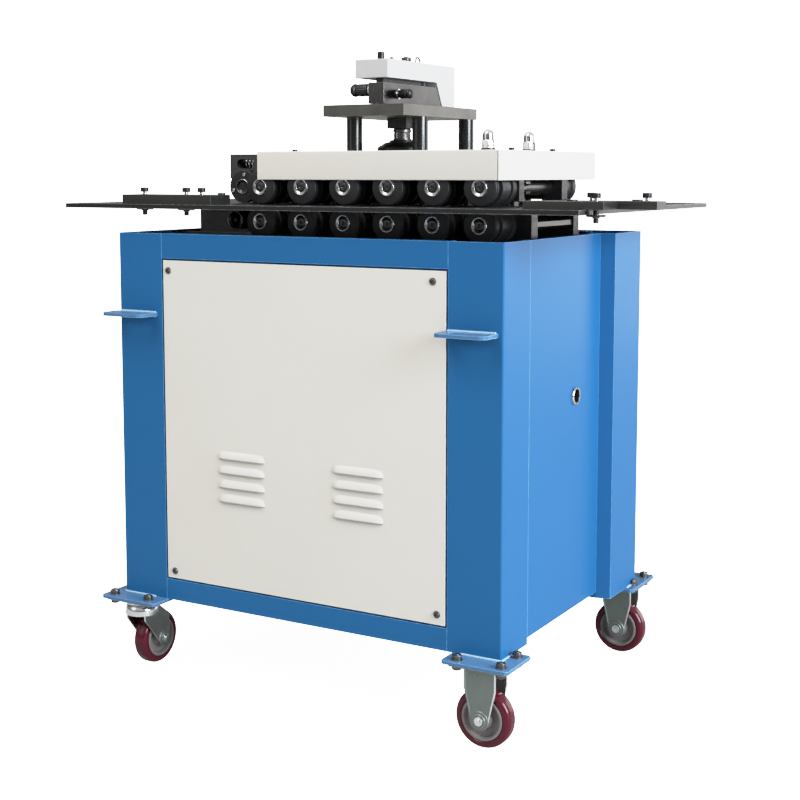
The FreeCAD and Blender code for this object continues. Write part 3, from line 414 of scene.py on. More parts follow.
class Wiring:
    """Adds nodes to one tree and joins them."""

    def __init__(self, tree: Tree) -> None:
        """Keep the tree to wire."""
        self.tree = tree

    def add(self, kind: str, inputs: dict[str, object] | None = None, **settings: object) -> Node:
        """Add a node.

        Args:
            kind: the node's type.
            inputs: a value or a socket to join for each named input.
            settings: properties of the node itself.

        Returns:
            The new node.
        """
        node = self.tree.nodes.new(kind)
        for name, value in settings.items():
            setattr(node, name, value)
        for name, value in (inputs or {}).items():
            target = node.inputs[int(name)] if name.isdigit() else node.inputs[name]
            if isinstance(value, Socket):
                self.tree.links.new(value, target)
            else:
                target.default_value = value
        return node


def effect(name: str, inputs: dict[str, float | Point], outputs: dict[str, str],
           wire: Callable[[Wiring, Node, Node], None]) -> Tree:
    """Build a node group once and give it back after that.

    Args:
        name: the group's name.
        inputs: default of each input; three numbers make a vector.
        outputs: socket type of each output.
        wire: fills the group, given its wiring, its input node and its output node.

    Returns:
        The group's tree.
    """
    tree = bpy.data.node_groups.get(name)
    if tree is None:
        tree = bpy.data.node_groups.new(name, "ShaderNodeTree")
        for label, value in inputs.items():
            kind = "NodeSocketFloat" if isinstance(value, float) else "NodeSocketVector"
            tree.interface.new_socket(label, in_out="INPUT", socket_type=kind).default_value = value
        for label, kind in outputs.items():
            tree.interface.new_socket(label, in_out="OUTPUT", socket_type=kind)
        wiring = Wiring(tree)
        wire(wiring, wiring.add("NodeGroupInput"), wiring.add("NodeGroupOutput"))
    return tree


def wire_clouds(w: Wiring, given: Node, out: Node) -> None:
    """Tone = 1 + Spread (2 noise - 1), a slow change of shade over the piece.

    Args:
        w: the group's wiring.
        given: the group's input node.
        out: the group's output node.
    """
    place = w.add("ShaderNodeTexCoord").outputs["Object"]
    noise = w.add("ShaderNodeTexNoise", {"Vector": place, "Scale": given.outputs["Size"], "Detail": 5.0,
                                         "Roughness": 0.6}).outputs["Fac"]
    swing = w.add("ShaderNodeMath", {"0": noise, "1": 2.0, "2": -1.0}, operation="MULTIPLY_ADD").outputs[0]
    tone = w.add("ShaderNodeMath", {"0": swing, "1": given.outputs["Spread"], "2": 1.0},
                 operation="MULTIPLY_ADD").outputs[0]
    w.tree.links.new(tone, out.inputs["Tone"])


def wire_wear_and_highlight(w: Wiring, given: Node, out: Node) -> None:
    """Mask = Amount where the rounded normal leaves the true one, broken up by a fine noise: worn edges
    together with a painted highlight along every edge.

    Args:
        w: the group's wiring.
        given: the group's input node.
        out: the group's output node.
    """
    rounded = w.add("ShaderNodeBevel", {"Radius": given.outputs["Reach"]}, samples=4).outputs["Normal"]
    true = w.add("ShaderNodeNewGeometry").outputs["Normal"]
    together = w.add("ShaderNodeVectorMath", {"0": rounded, "1": true}, operation="DOT_PRODUCT")
    edge = w.add("ShaderNodeMapRange", {"Value": together.outputs["Value"], "From Min": 0.985,
                                        "From Max": 0.86}).outputs[0]
    place = w.add("ShaderNodeTexCoord").outputs["Object"]
    noise = w.add("ShaderNodeTexNoise", {"Vector": place, "Scale": 90.0, "Detail": 4.0}).outputs["Fac"]
    patches = w.add("ShaderNodeMapRange", {"Value": noise, "From Min": 0.35, "From Max": 0.62,
                                           "To Min": 0.45}).outputs[0]
    both = w.add("ShaderNodeMath", {"0": edge, "1": patches}, operation="MULTIPLY").outputs[0]
    mask = w.add("ShaderNodeMath", {"0": both, "1": given.outputs["Amount"]}, operation="MULTIPLY").outputs[0]
    w.tree.links.new(mask, out.inputs["Mask"])


def wire_grain(w: Wiring, given: Node, out: Node) -> None:
    """Height = a noise read from Object coordinates times Stretch, so that it draws out into lines.

    Args:
        w: the group's wiring.
        given: the group's input node.
        out: the group's output node.
    """
    place = w.add("ShaderNodeTexCoord").outputs["Object"]
    drawn = w.add("ShaderNodeMapping", {"Vector": place, "Scale": given.outputs["Stretch"]}).outputs[0]
    noise = w.add("ShaderNodeTexNoise", {"Vector": drawn, "Scale": 1.0, "Detail": 4.0, "Roughness": 0.65})
    w.tree.links.new(noise.outputs["Fac"], out.inputs["Height"])


def grouped(w: Wiring, tree: Tree, values: dict[str, object], output: str) -> Socket:
    """Place a node group with its own values and give one of its outputs.

    Args:
        w: wiring of the tree that takes the group.
        tree: the group.
        values: value of each input.
        output: name of the output.

    Returns:
        That output's socket.
    """
    node = w.tree.nodes.new("ShaderNodeGroup")
    node.node_tree = tree
    for name, value in values.items():
        node.inputs[name].default_value = value
    return node.outputs[output]


def clouds(w: Wiring, size: float, spread: float) -> Socket:
    """Slow change of shade as a number round 1."""
    tree = effect("shade_clouds", {"Size": 5.0, "Spread": 0.05}, {"Tone": "NodeSocketFloat"}, wire_clouds)
    return grouped(w, tree, {"Size": size, "Spread": spread}, "Tone")


def wear_and_highlight(w: Wiring, reach: float, amount: float) -> Socket:
    """Mask of the worn edges, which also paints a highlight along every edge."""
    tree = effect("edge_wear_and_highlight", {"Reach": 0.001, "Amount": 0.5}, {"Mask": "NodeSocketFloat"}, wire_wear_and_highlight)
    return grouped(w, tree, {"Reach": reach, "Amount": amount}, "Mask")


def grain(w: Wiring, stretch: Point) -> Socket:
    """Height of a grain drawn out into lines."""
    tree = effect("drawn_grain", {"Stretch": (1.0, 1.0, 1.0)}, {"Height": "NodeSocketFloat"}, wire_grain)
    return grouped(w, tree, {"Stretch": stretch}, "Height")


def surface(name: str) -> tuple[bpy.types.Material, Wiring, Node]:
    """New material with its wiring and its own Principled shader.

    Args:
        name: the material's name.

    Returns:
        The material, its wiring and the shader.
    """
    material = bpy.data.materials.new(name)
    material.use_nodes = True
    w = Wiring(material.node_tree)
    return material, w, material.node_tree.nodes["Principled BSDF"]


def lit(w: Wiring, shader: Node, colour: Colour, tone: Socket,
        edge: Socket | None, edge_colour: Colour) -> None:
    """Feed Base Color with the colour times its tone, and with the edge colour where the mask says so.

    Args:
        w: the material's wiring.
        shader: its Principled shader.
        colour: the plain colour.
        tone: factor of its value.
        edge: mask of the edge colour, or none.
        edge_colour: the colour that the mask lets through.
    """
    shaded = w.add("ShaderNodeHueSaturation", {"Color": (*colour, 1.0), "Value": tone}).outputs[0]
    if edge is not None:
        mix = w.add("ShaderNodeMix", data_type="RGBA")
        w.tree.links.new(edge, mix.inputs[0])
        w.tree.links.new(shaded, mix.inputs[6])
        mix.inputs[7].default_value = (*edge_colour, 1.0)
        shaded = mix.outputs[2]
    w.tree.links.new(shaded, shader.inputs["Base Color"])


def roughened(w: Wiring, shader: Node, height: Socket, low: float, high: float) -> None:
    """Feed Roughness from low to high as the height goes from 0.3 to 0.7.

    Args:
        w: the material's wiring.
        shader: its Principled shader.
        height: height of the grain.
        low: roughness where the grain is low.
        high: roughness where it is high.
    """
    span = w.add("ShaderNodeMapRange", {"Value": height, "From Min": 0.3, "From Max": 0.7, "To Min": low,
                                        "To Max": high}).outputs[0]
    w.tree.links.new(span, shader.inputs["Roughness"])


def raised(w: Wiring, shader: Node, height: Socket, strength: float,
           distance: float) -> None:
    """Feed Normal with a bump of the height."""
    bump = w.add("ShaderNodeBump", {"Height": height, "Strength": strength, "Distance": distance})
    w.tree.links.new(bump.outputs[0], shader.inputs["Normal"])


@dataclass(frozen=True)
class Enamel:
    """Sprayed paint: an even colour with slow clouds, a fine orange peel, and lighter edges that are partly
    wear and partly a painted highlight.
    """

    name: str
    slot: str
    colour: Colour
    gloss: float = 0.3
    spread: float = 0.04
    peel: float = 0.06
    edge: Colour = (0.5, 0.6, 0.7)
    edge_amount: float = 0.25
    sheen: float = 0.12
    cloud_size: float = 4.0
    edge_reach: float = 0.0016
    peel_scale: float = 420.0

    def build(self) -> bpy.types.Material:
        """Make the material.

        Returns:
            The new material.
        """
        material, w, shader = surface(self.name)
        lit(w, shader, self.colour, clouds(w, self.cloud_size, self.spread),
            wear_and_highlight(w, self.edge_reach, self.edge_amount), self.edge)
        skin = grain(w, (self.peel_scale,) * 3)
        roughened(w, shader, skin, self.gloss * 0.85, self.gloss * 1.2)
        raised(w, shader, skin, self.peel, 0.0004)
        shader.inputs["Specular IOR Level"].default_value = self.sheen
        return material


@dataclass(frozen=True)
class Steel:
    """Bare or blackened steel with a grain drawn along one way, slow stains, and brighter edges that are
    partly wear and partly a painted highlight.
    """

    name: str
    slot: str
    colour: Colour
    rough: float = 0.35
    stretch: Point = (30.0, 900.0, 900.0)
    spread: float = 0.12
    depth: float = 0.10
    edge: Colour = (0.6, 0.6, 0.58)
    edge_amount: float = 0.5
    metal: float = 1.0
    gleam: float = 0.5
    stain_size: float = 16.0
    edge_reach: float = 0.0012

    def build(self) -> bpy.types.Material:
        """Make the material.

        Returns:
            The new material.
        """
        material, w, shader = surface(self.name)
        lines = grain(w, self.stretch)
        stain = clouds(w, self.stain_size, self.spread)
        streak = w.add("ShaderNodeMath", {"0": lines, "1": self.spread * 1.6, "2": 1 - self.spread * 0.8},
                       operation="MULTIPLY_ADD").outputs[0]
        tone = w.add("ShaderNodeMath", {"0": stain, "1": streak}, operation="MULTIPLY").outputs[0]
        lit(w, shader, self.colour, tone, wear_and_highlight(w, self.edge_reach, self.edge_amount), self.edge)
        roughened(w, shader, lines, self.rough * 0.75, self.rough * 1.3)
        raised(w, shader, lines, self.depth, 0.0002)
        shader.inputs["Metallic"].default_value = self.metal
        shader.inputs["Specular IOR Level"].default_value = self.gleam
        return material


@dataclass(frozen=True)
class Moulded:
    """Cast or moulded plastic: a deep even colour under a soft skin, with faint scuffs."""

    name: str
    slot: str
    colour: Colour
    gloss: float = 0.25
    scuff: Colour = (0.3, 0.25, 0.25)
    scuff_scale: float = 160.0
    skin_scale: float = 700.0
    spread: float = 0.12
    sheen: float = 0.3

    def build(self) -> bpy.types.Material:
        """Make the material.

        Returns:
            The new material.
        """
        material, w, shader = surface(self.name)
        scuffs = grain(w, (self.scuff_scale,) * 3)
        mask = w.add("ShaderNodeMapRange", {"Value": scuffs, "From Min": 0.62, "From Max": 0.8,
                                            "To Max": 0.35}).outputs[0]
        lit(w, shader, self.colour, clouds(w, 30.0, self.spread), mask, self.scuff)
        roughened(w, shader, scuffs, self.gloss * 0.8, self.gloss * 1.5)
        raised(w, shader, grain(w, (self.skin_scale,) * 3), 0.04, 0.0003)
        shader.inputs["Specular IOR Level"].default_value = self.sheen
        return material


class Coat(Enum):
    """Every finish on the machine."""

    # Each finish's edge colour is lighter than its body: partly wear, partly a painted highlight along the
    # edges.
    BLUE = Enamel("cabinet_blue", "blue_paint", (0.015, 0.103, 0.250), gloss=0.34,
                  edge=(0.22, 0.48, 0.80), edge_amount=0.9)
    # Lighter, greyer copy of the cabinet blue for the pads and ears: a painted reflection on the same paint.
    PAD = Enamel("pad_blue_painted_reflection", "blue_paint", (0.062, 0.140, 0.255), gloss=0.30, spread=0.16,
                 edge=(0.30, 0.55, 0.85), edge_amount=0.9)
    # Much lighter copy of the cabinet blue on the weld beads: a painted highlight on the same paint.
    WELD = Enamel("weld_blue_painted_highlight", "blue_paint", (0.26, 0.40, 0.52), gloss=0.18, spread=0.25, sheen=0.5)
    CREAM = Enamel("panel_cream", "cream_paint", (0.56, 0.535, 0.485), gloss=0.42, spread=0.03,
                   edge=(0.92, 0.92, 0.90), edge_amount=0.9)
    ARM = Enamel("arm_enamel", "arm_paint", (0.43, 0.42, 0.415), gloss=0.38, spread=0.03,
                 edge=(0.9, 0.9, 0.9), edge_amount=0.5)
    MOTOR = Enamel("motor_enamel", "motor_paint", (0.05, 0.09, 0.13), gloss=0.45)
    ZINC = Steel("caster_zinc", "zinc_steel", (0.16, 0.185, 0.165), rough=0.34, stretch=(60.0, 60.0, 60.0),
                 spread=0.14, depth=0.04, edge=(0.75, 0.77, 0.75), edge_amount=0.9, metal=0.75)
    CHROME = Steel("caster_chrome", "zinc_steel", (0.72, 0.73, 0.72), rough=0.16, stretch=(40.0, 40.0, 40.0),
                   spread=0.08, depth=0.02)
    TABLE = Steel("table_black", "table_steel", (0.022, 0.022, 0.022), rough=0.36,
                  stretch=(12.0, 500.0, 500.0), spread=0.25, depth=0.12,
                  edge=(0.60, 0.60, 0.58), edge_amount=0.9, metal=0.7)
    GUIDE = Steel("guide_black", "black_steel", (0.045, 0.044, 0.041), rough=0.40,
                  stretch=(14.0, 420.0, 420.0), spread=0.30, depth=0.15,
                  edge=(0.36, 0.35, 0.33), edge_amount=0.7, metal=0.8)
    LEVER = Steel("lever_oiled", "black_steel", (0.052, 0.051, 0.05), rough=0.26, stretch=(90.0, 14.0, 60.0),
                  spread=0.80, depth=0.25, edge=(0.70, 0.70, 0.68), edge_amount=0.9)
    PLATE = Steel("housing_plate", "plate_steel", (0.075, 0.075, 0.074), rough=0.42,
                  stretch=(40.0, 40.0, 300.0), spread=0.2, depth=0.12)
    ROLL = Steel("roll_black", "ground_steel", (0.013, 0.013, 0.014), rough=0.42,
                 stretch=(300.0, 80.0, 300.0), spread=0.2, depth=0.06,
                 edge=(0.25, 0.25, 0.24), edge_amount=0.6, metal=0.0, gleam=0.3)
    NOSE = Steel("roll_nose", "ground_steel", (0.48, 0.48, 0.47), rough=0.17, stretch=(300.0, 60.0, 300.0),
                 spread=0.1, depth=0.03)
    BORE = Steel("roll_bore", "ground_steel", (0.05, 0.05, 0.052), rough=0.22, stretch=(200.0, 200.0, 200.0),
                 spread=0.2, depth=0.03, edge_amount=0.2)
    GEAR = Steel("gear_oiled", "gear_steel", (0.11, 0.105, 0.10), rough=0.36, stretch=(120.0, 400.0, 120.0),
                 spread=0.25, depth=0.10)
    BLACK = Steel("black_oxide", "black_steel", (0.018, 0.018, 0.018), rough=0.34,
                  stretch=(120.0, 120.0, 120.0), spread=0.2, depth=0.05,
                  edge=(0.4, 0.4, 0.38), edge_amount=0.6, metal=0.6)
    BRIGHT = Steel("bright_steel", "bright_steel", (0.74, 0.74, 0.73), rough=0.2, stretch=(60.0, 60.0, 400.0),
                   spread=0.1, depth=0.04)
    POST = Steel("post_black", "bright_steel", (0.05, 0.05, 0.049), rough=0.22, stretch=(200.0, 200.0, 20.0),
                 spread=0.15, depth=0.03, edge_amount=0.4, metal=0.9)
    HEAD_PLATE = Steel("head_plate", "dark_plate", (0.105, 0.101, 0.093), rough=0.33,
                       stretch=(14.0, 500.0, 500.0), spread=0.45, depth=0.15, edge=(0.5, 0.5, 0.47))
    CHAIN = Steel("chain_oiled", "chain_steel", (0.09, 0.085, 0.08), rough=0.35, spread=0.25, edge_amount=0.8)
    TYRE = Moulded("tyre_maroon", "tyre", (0.062, 0.004, 0.010), gloss=0.16, scuff=(0.09, 0.02, 0.025))
    HUB = Moulded("hub_grey", "tyre", (0.15, 0.135, 0.13), gloss=0.4, scuff=(0.26, 0.24, 0.22))

    def material(self) -> bpy.types.Material:
        """The finish's material, built the first time that it is asked for."""
        return bpy.data.materials.get(self.value.name) or self.value.build()


# Pieces


def cabinet_middle() -> np.ndarray:
    """Middle of the cabinet on the floor in the row frame, from its posts' boxes.

    Returns:
        That point in metres.
    """
    front_low, front_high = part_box("front_posts")
    rear_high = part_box("rear_posts")[1]
    return np.array([(front_low.x + front_high.x) / 2, (front_low.y + rear_high.y) / 2, 0.0])


MIDDLE = cabinet_middle()


@dataclass
class Draft:
    """Shapes gathered for one piece, each with the number of its finish."""

    shapes: list[Shape] = field(default_factory=list)
    marks: list[int] = field(default_factory=list)

    def add(self, *shapes: Shape, mark: int = 0) -> "Draft":
        """Gather more shapes.

        Args:
            shapes: the shapes.
            mark: number of the finish that they take.

        Returns:
            The draft itself.
        """
        self.shapes += shapes
        self.marks += [mark] * len(shapes)
        return self

    def mesh(self, name: str) -> bpy.types.Mesh:
        """Join the shapes into one mesh in the row frame, in metres.

        Args:
            name: the mesh's name.

        Returns:
            The mesh.
        """
        points = np.concatenate([shape.points for shape in self.shapes]) * MM + MIDDLE
        faces, marks, start = [], [], 0
        for shape, mark in zip(self.shapes, self.marks):
            for part in shape.faces:
                faces += (part + start).tolist()
                marks.append(np.full(len(part), mark, np.int32))
            start += len(shape.points)
        mesh = bpy.data.meshes.new(name)
        mesh.from_pydata(points.tolist(), [], faces)
        mesh.polygons.foreach_set("material_index", np.concatenate(marks))
        mesh.polygons.foreach_set("use_smooth", np.ones(len(faces), bool))
        mesh.update()
        mesh.set_sharp_from_angle(angle=CREASE)
        return mesh


def piece(name: str, draft: Draft, coats: Sequence[Coat], body: str = "machine",
          stands_for: Sequence[str] = (), edge: float = 0.0) -> bpy.types.Object:
    """Turn a draft into a finished piece on its body.

    Args:
        name: the piece's name.
        draft: its shapes.
        coats: its finishes, in the order of the draft's marks.
        body: the CAD body it rides on.
        stands_for: CAD nodes that it replaces.
        edge: width of the rounding along its sharp edges, in millimetres.

    Returns:
        The new object.
    """
    thing = bpy.data.objects.new(name, draft.mesh(name))
    bpy.context.scene.collection.objects.link(thing)
    for coat in coats:
        thing.data.materials.append(coat.material())
    if edge:
        rounding = thing.modifiers.new("rounded_edges", "BEVEL")
        rounding.width = edge * MM
        rounding.segments = 2
        rounding.limit_method = "ANGLE"
        rounding.angle_limit = CREASE
        rounding.harden_normals = True
    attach(thing, body)
    if stands_for:
        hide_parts(*stands_for)
    log.info("%s on %s: %d faces", name, body, len(thing.data.polygons))
    return thing


def dress(coat: Coat, *nodes: str) -> None:
    """Give CAD nodes that stay in view their finish.

    Args:
        coat: the finish.
        nodes: the nodes' names.
    """
    for node in nodes:
        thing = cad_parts[node]
        if not thing.material_slots:
            thing.data.materials.append(None)
        for place in thing.material_slots:
            place.material = coat.material()
        log.info("%s keeps its CAD shape", node)


@dataclass
class Cabinet:
    """Bent sheet posts, rails and skins, with the front panel, the cable hole's rim and the lifting ears."""

    face: float = -270
    panel_half: float = 291.5
    panel_low: float = 185.5
    panel_high: float = 774.5
    panel_fold: float = 6
    panel_wall: float = 1.5
    bank_centres: tuple[float, ...] = (-121.6, 122.3)
    hood_tops: tuple[float, ...] = (434.8, 408.7, 382.6, 356.5)
    hood_length: float = 101
    hood_height: float = 13
    hood_rise: float = 5
    hood_columns: int = 25
    hood_rows: int = 9
    panel_screws: tuple[tuple[float, float], ...] = ((-280, 756), (267, 757), (-275, 199), (276, 203))
    ear_centres: tuple[float, ...] = (-354, 338)
    ear_top: float = 678
    ear_wall: float = 6
    ear_reach: float = 48
    ear_depth: float = 48
    ear_corner: float = 14
    ear_slot: tuple[float, float] = (62, 17)
    weld_left: float = -393
    cable_hole: tuple[float, float, float] = (395, 20, 540)

    def panel_lines(self) -> tuple[np.ndarray, np.ndarray]:
        """Grid lines of the front panel, close together over the hoods.

        Returns:
            The columns' x and the rows' z.
        """
        half = self.hood_length / 2
        spread = np.sin(np.linspace(-np.pi / 2, np.pi / 2, self.hood_columns)) * half
        margin = half + 1.0
        xs = np.concatenate([[-self.panel_half, 1 - self.panel_half],
                             *[c + spread for c in self.bank_centres],
                             *[(c - margin, c + margin) for c in self.bank_centres],
                             [self.panel_half - 1, self.panel_half]])
        drop = np.linspace(0, 1, self.hood_rows)
        zs = [self.panel_low, self.panel_low + 1, self.panel_high - 1, self.panel_high]
        for top in self.hood_tops:
            low = top - self.hood_height
            zs += list(top - drop * self.hood_height) + [top + 1.0, low - 0.4, low - 1.4]
        return np.unique(np.round(xs, 4)), np.unique(np.round(zs, 4))

    def hoods(self, x: np.ndarray, z: np.ndarray) -> np.ndarray:
        """How far the sheet stands out, as a share of the hoods' rise.

        Over each hood the share is (1 - |2 dx / length|^9 - (1 - s)^2.4)^0.75, where s runs from 0 at the
        hood's top to 1 at its mouth. Elsewhere it is 0.

        Args:
            x: each point's place across the panel.
            z: each point's height.

        Returns:
            The share at each point.
        """
        share = np.zeros_like(x)
        for centre in self.bank_centres:
            across = np.abs((x - centre) / (self.hood_length / 2)) ** 9
            for top in self.hood_tops:
                s = (top - z) / self.hood_height
                inside = np.clip(1 - across - np.abs(1 - s) ** 2.4, 0, 1)
                share += np.where((s >= 0) & (s <= 1.001), inside ** 0.75, 0)
        return share

    def panel(self) -> None:
        """Press the front panel: a field over x and z with its edges folded back and its mouths open."""
        x, z = np.meshgrid(*self.panel_lines())
        y = self.face - self.hood_rise * self.hoods(x, z)
        grid = np.stack([x, y, z], axis=-1)
        fold = np.array([0.0, self.panel_fold, 0.0])
        grid = np.concatenate([grid[:1] + fold, grid, grid[-1:] + fold])
        left = grid[:, :1] + fold * (grid[:, :1, 1:2] < self.face + 1)
        right = grid[:, -1:] + fold * (grid[:, -1:, 1:2] < self.face + 1)
        grid = np.concatenate([left, grid, right], axis=1)
        quads = lattice(*grid.shape[:2], False, False)
        points = grid.reshape(-1, 3)
        depth, height = points[quads][:, :, 1], points[quads][:, :, 2]
        mouth = (np.ptp(height, axis=1) < 0.5) & (depth.min(axis=1) < self.face - 0.6)
        sheet = piece("front_panel_sheet", Draft().add(Shape(points, [quads[~mouth]])), [Coat.CREAM],
                      stands_for=["front_panel"])
        wall = sheet.modifiers.new("sheet_wall", "SOLIDIFY")
        wall.thickness = self.panel_wall * MM
        wall.offset = -1

    def trim(self) -> None:
        """Panel screws, and the raised bright rim of the cable hole, a bush that also paints the highlight of
        the hole's edge, with its black sleeve, which paints the shade inside the hole.
        """
        screws = Draft()
        for x, z in self.panel_screws:
            dome = [(6.2, 0), (6.2, 0.8), (5.4, 2.2), (3.6, 3.0), (flats(6, 4.4), 3.0), (flats(6, 4.4), 1.0)]
            screws.add(spun(dome, (x, self.face, z), Axis.Y, HEX_SIDES, sign=-1))
        piece("panel_screws", screws, [Coat.GEAR])
        rim = [(12.6, -1), (12.6, 4.0), (13.2, 5.0), (14.8, 5.0), (15.9, 4.0), (16.3, 2.5), (16.3, -1)]
        sleeve_rows = [(12.5, -16), (12.5, 4.4), (11.6, 4.4), (11.2, 3.4), (11.2, -16)]
        # Bright rim: a bush that also paints the edge highlight. Black sleeve: painted shade inside the hole.
        grommet = Draft().add(spun(rim, self.cable_hole, Axis.X, ring=True))
        grommet.add(spun(sleeve_rows, self.cable_hole, Axis.X, ring=True), mark=1)
        piece("cable_hole_rim", grommet, [Coat.BRIGHT, Coat.BLACK])

    def ears(self) -> None:
        """Slotted lifting ears with rounded front corners, and the beads that weld each to its post."""
        plates, beads = Draft(), Draft()
        round_x, round_y = self.ear_reach - self.ear_corner, self.ear_depth - self.ear_corner
        for middle in self.ear_centres:
            corners = [(middle - round_x, self.face - round_y, self.ear_corner),
                       (middle + round_x, self.face - round_y, self.ear_corner),
                       (middle + self.ear_reach - 0.5, self.face - 0.5, 0.5),
                       (middle - self.ear_reach + 0.5, self.face - 0.5, 0.5)]
            hole = slot_outline(middle, self.face - self.ear_depth / 2, *self.ear_slot)
            plates.add(prism(wrapped(corners, 96), self.ear_top - self.ear_wall, self.ear_top, holes=[hole]))
            left = max(middle - self.ear_reach + 3, self.weld_left)
            for level in (self.ear_top, self.ear_top - self.ear_wall):
                beads.add(bead((left, self.face - 0.5, level),
                               (middle + self.ear_reach - 3, self.face - 0.5, level), 2.3, 7))
        piece("lifting_ear_plates", plates, [Coat.PAD], stands_for=["lifting_ears"], edge=1.0)
        piece("ear_welds", beads, [Coat.WELD])

    def build(self) -> None:
        """Make the cabinet's own pieces and paint its CAD nodes."""
        self.panel()
        self.trim()
        self.ears()
        dress(Coat.BLUE, "front_posts", "rear_posts", "frame_rails", "side_skins")
        dress(Coat.CREAM, "rear_panel")
        dress(Coat.ZINC, "floor_pan")


@dataclass
class Casters:
    """Four 100 mm casters: swivels on the left, fixed forks on the right, bolted through welded pads."""

    axle_level: float = 50
    axle_radius: float = 6
    axle_nut: tuple[float, float] = (15, 2.6)
    wheel_radius: float = 50
    wheel_half: float = 16
    trail: float = 37
    gap: float = 20
    wall: float = 3
    fork_half: float = 27
    fork_eye: float = 15
    fork_high: float = 134
    fork_shoulder: float = 102
    fork_bridge: float = 131
    rim_reach: float = 1.9
    rim_high: float = 128
    plate_half: tuple[float, float] = (46, 36)
    plate_corner: float = 6
    pad_low: float = 137
    pad_high: float = 143
    pad_cut: float = 5
    bolt_reach: tuple[float, float] = (40, 30)
    bolt_across: float = 15
    weld_runs: tuple[float, float] = (74, 50)
    cabinet_halves: tuple[float, float, float] = (395, 421, 270)
    pad_boxes: dict[str, tuple[float, float, float, float]] = field(default_factory=lambda: {
        "front_left": (-420, -312, -292.5, -204.5), "rear_left": (-437, 212.5, -323.5, 333.5),
        "front_right": (304.5, -312, 426, -218.5), "rear_right": (323.5, 212.5, 437, 333.5)})
    plate_moves: dict[str, tuple[float, float]] = field(default_factory=lambda: {
        "front_left": (0, 0), "rear_left": (8, 8), "front_right": (-4, 12), "rear_right": (-8, 8)})
    places: dict[str, tuple[float, float]] = field(default_factory=lambda: {
        "front_left": (-360, -265), "rear_left": (-391, 273),
        "front_right": (372, -279), "rear_right": (391, 273)})

    def wheel(self, corner: str, centre: Point, axis: Axis) -> None:
        """Spin one wheel: a round-shouldered tyre on a dished hub with a bearing boss.

        Args:
            corner: which caster it belongs to.
            centre: the wheel's middle.
            axis: the axle's axis.
        """
        r, w = self.wheel_radius, self.wheel_half
        turn = np.linspace(0, np.pi / 2, 7)
        shoulder = [(r - 9 + 9 * math.sin(a), w - 1.5 - 9 + 9 * math.cos(a)) for a in turn]
        tread = [(37, w - 3.0), (38.5, w - 1.5), *shoulder]
        half = [(36.8, w - 2.0), (35.5, w - 0.8), (32.5, w - 0.8), (30.8, w - 3.0), (29.5, w - 8.0),
                (19.0, w - 9.0), (17.5, w - 7.0), (16.5, w - 1.5), (15.5, w), (8.5, w), (7.5, w - 1.0)]
        draft = Draft()
        for mark, rows, sides in ((0, tread, 72), (1, half, 60)):
            both = rows + [(a, -b) for a, b in reversed(rows)]
            draft.add(spun(both, centre, axis, sides, ring=True), mark=mark)
        piece("wheel_" + corner + "_tyre", draft, [Coat.TYRE, Coat.HUB], "wheel_" + corner,
              ["wheel_" + corner])

    def axle(self, centre: Point, axis: Axis) -> tuple[list[Shape], list[Shape]]:
        """Axle bolt with a nut at each end, and the stepped washers under the nuts.

        Args:
            centre: the wheel's middle.
            axis: the axle's axis.

        Returns:
            The bolt with its nuts, and the washers.
        """
        start = self.gap + self.wall
        shapes = [spun([(self.axle_radius, -start - 2), (self.axle_radius, start + 2)], centre, axis, 20)]
        washers = []
        for sign in (1, -1):
            ledge = [(16.5, 0), (16.5, 1.0), (15.5, 1.8), (11.5, 1.8), (11.0, 2.8), (8, 2.8)]
            washers.append(spun([(r, start + h) for r, h in ledge], centre, axis, 32, sign=sign))
            spot = np.array(centre, float)
            spot[axis.value[2]] += sign * (start + 1.6)
            shapes += hex_bolt(spot, *self.axle_nut, axis, sign)
        return shapes, washers

    def strap(self, outline: Outline, sign: float, centre: Point, axis: Axis) -> Shape:
        """Leg of a fork or a yoke, cut from sheet, on one side of the wheel.

        Args:
            outline: the leg seen along the axle.
            sign: which side of the wheel it is on.
            centre: where the outline's own origin goes.
            axis: the axle's axis.

        Returns:
            The closed surface.
        """
        low, high = sorted([sign * self.gap, sign * (self.gap + self.wall)])
        return prism(outline, low, high, axis, centre)

    def fork_outline(self) -> Outline:
        """Band round a fork leg's top corners, its shoulders and the axle's eye.

        Returns:
            The leg's outline, from the axle's own line.
        """
        top, shoulder = self.fork_half - 1, self.fork_half - 4
        circles = [(-top, self.fork_high - 1, 1), (top, self.fork_high - 1, 1),
                   (-shoulder, self.fork_shoulder, 4), (shoulder, self.fork_shoulder, 4),
                   (0, self.axle_level, self.fork_eye)]
        return wrapped(circles, 96)

    def fork_rims(self, x: float, y: float) -> tuple[Shape, Shape]:
        """Pressed rims along the two edges of a fork leg.

        The outline's points below the bridge are put in order by their angle about the leg's middle.

        Args:
            x: the axle's place.
            y: the leg's outer face.

        Returns:
            The left rim and the right one.
        """
        rim = self.fork_outline()
        rim = rim[rim[:, 1] < self.rim_high]
        rim = rim[np.argsort(np.arctan2(rim[:, 0], 85 - rim[:, 1]))]
        rim = np.vstack([(-self.fork_half, self.fork_bridge), rim, (self.fork_half, self.fork_bridge)])
        path = np.stack([x + rim[:, 0], np.full(len(rim), y), rim[:, 1]], -1)
        middle = len(path) // 2
        across = np.array([0.0, 1.0, 0.0])
        left = tube(path[:middle + 1], self.rim_reach, across, 10)
        return left, tube(path[middle:], self.rim_reach, across, 10)

    def rigid(self) -> None:
        """Fixed forks of the two right casters."""
        forks, trim = Draft(), Draft()
        for corner in ("front_right", "rear_right"):
            x, y = self.places[corner]
            forks.add(self.top_plate(corner))
            for sign in (1, -1):
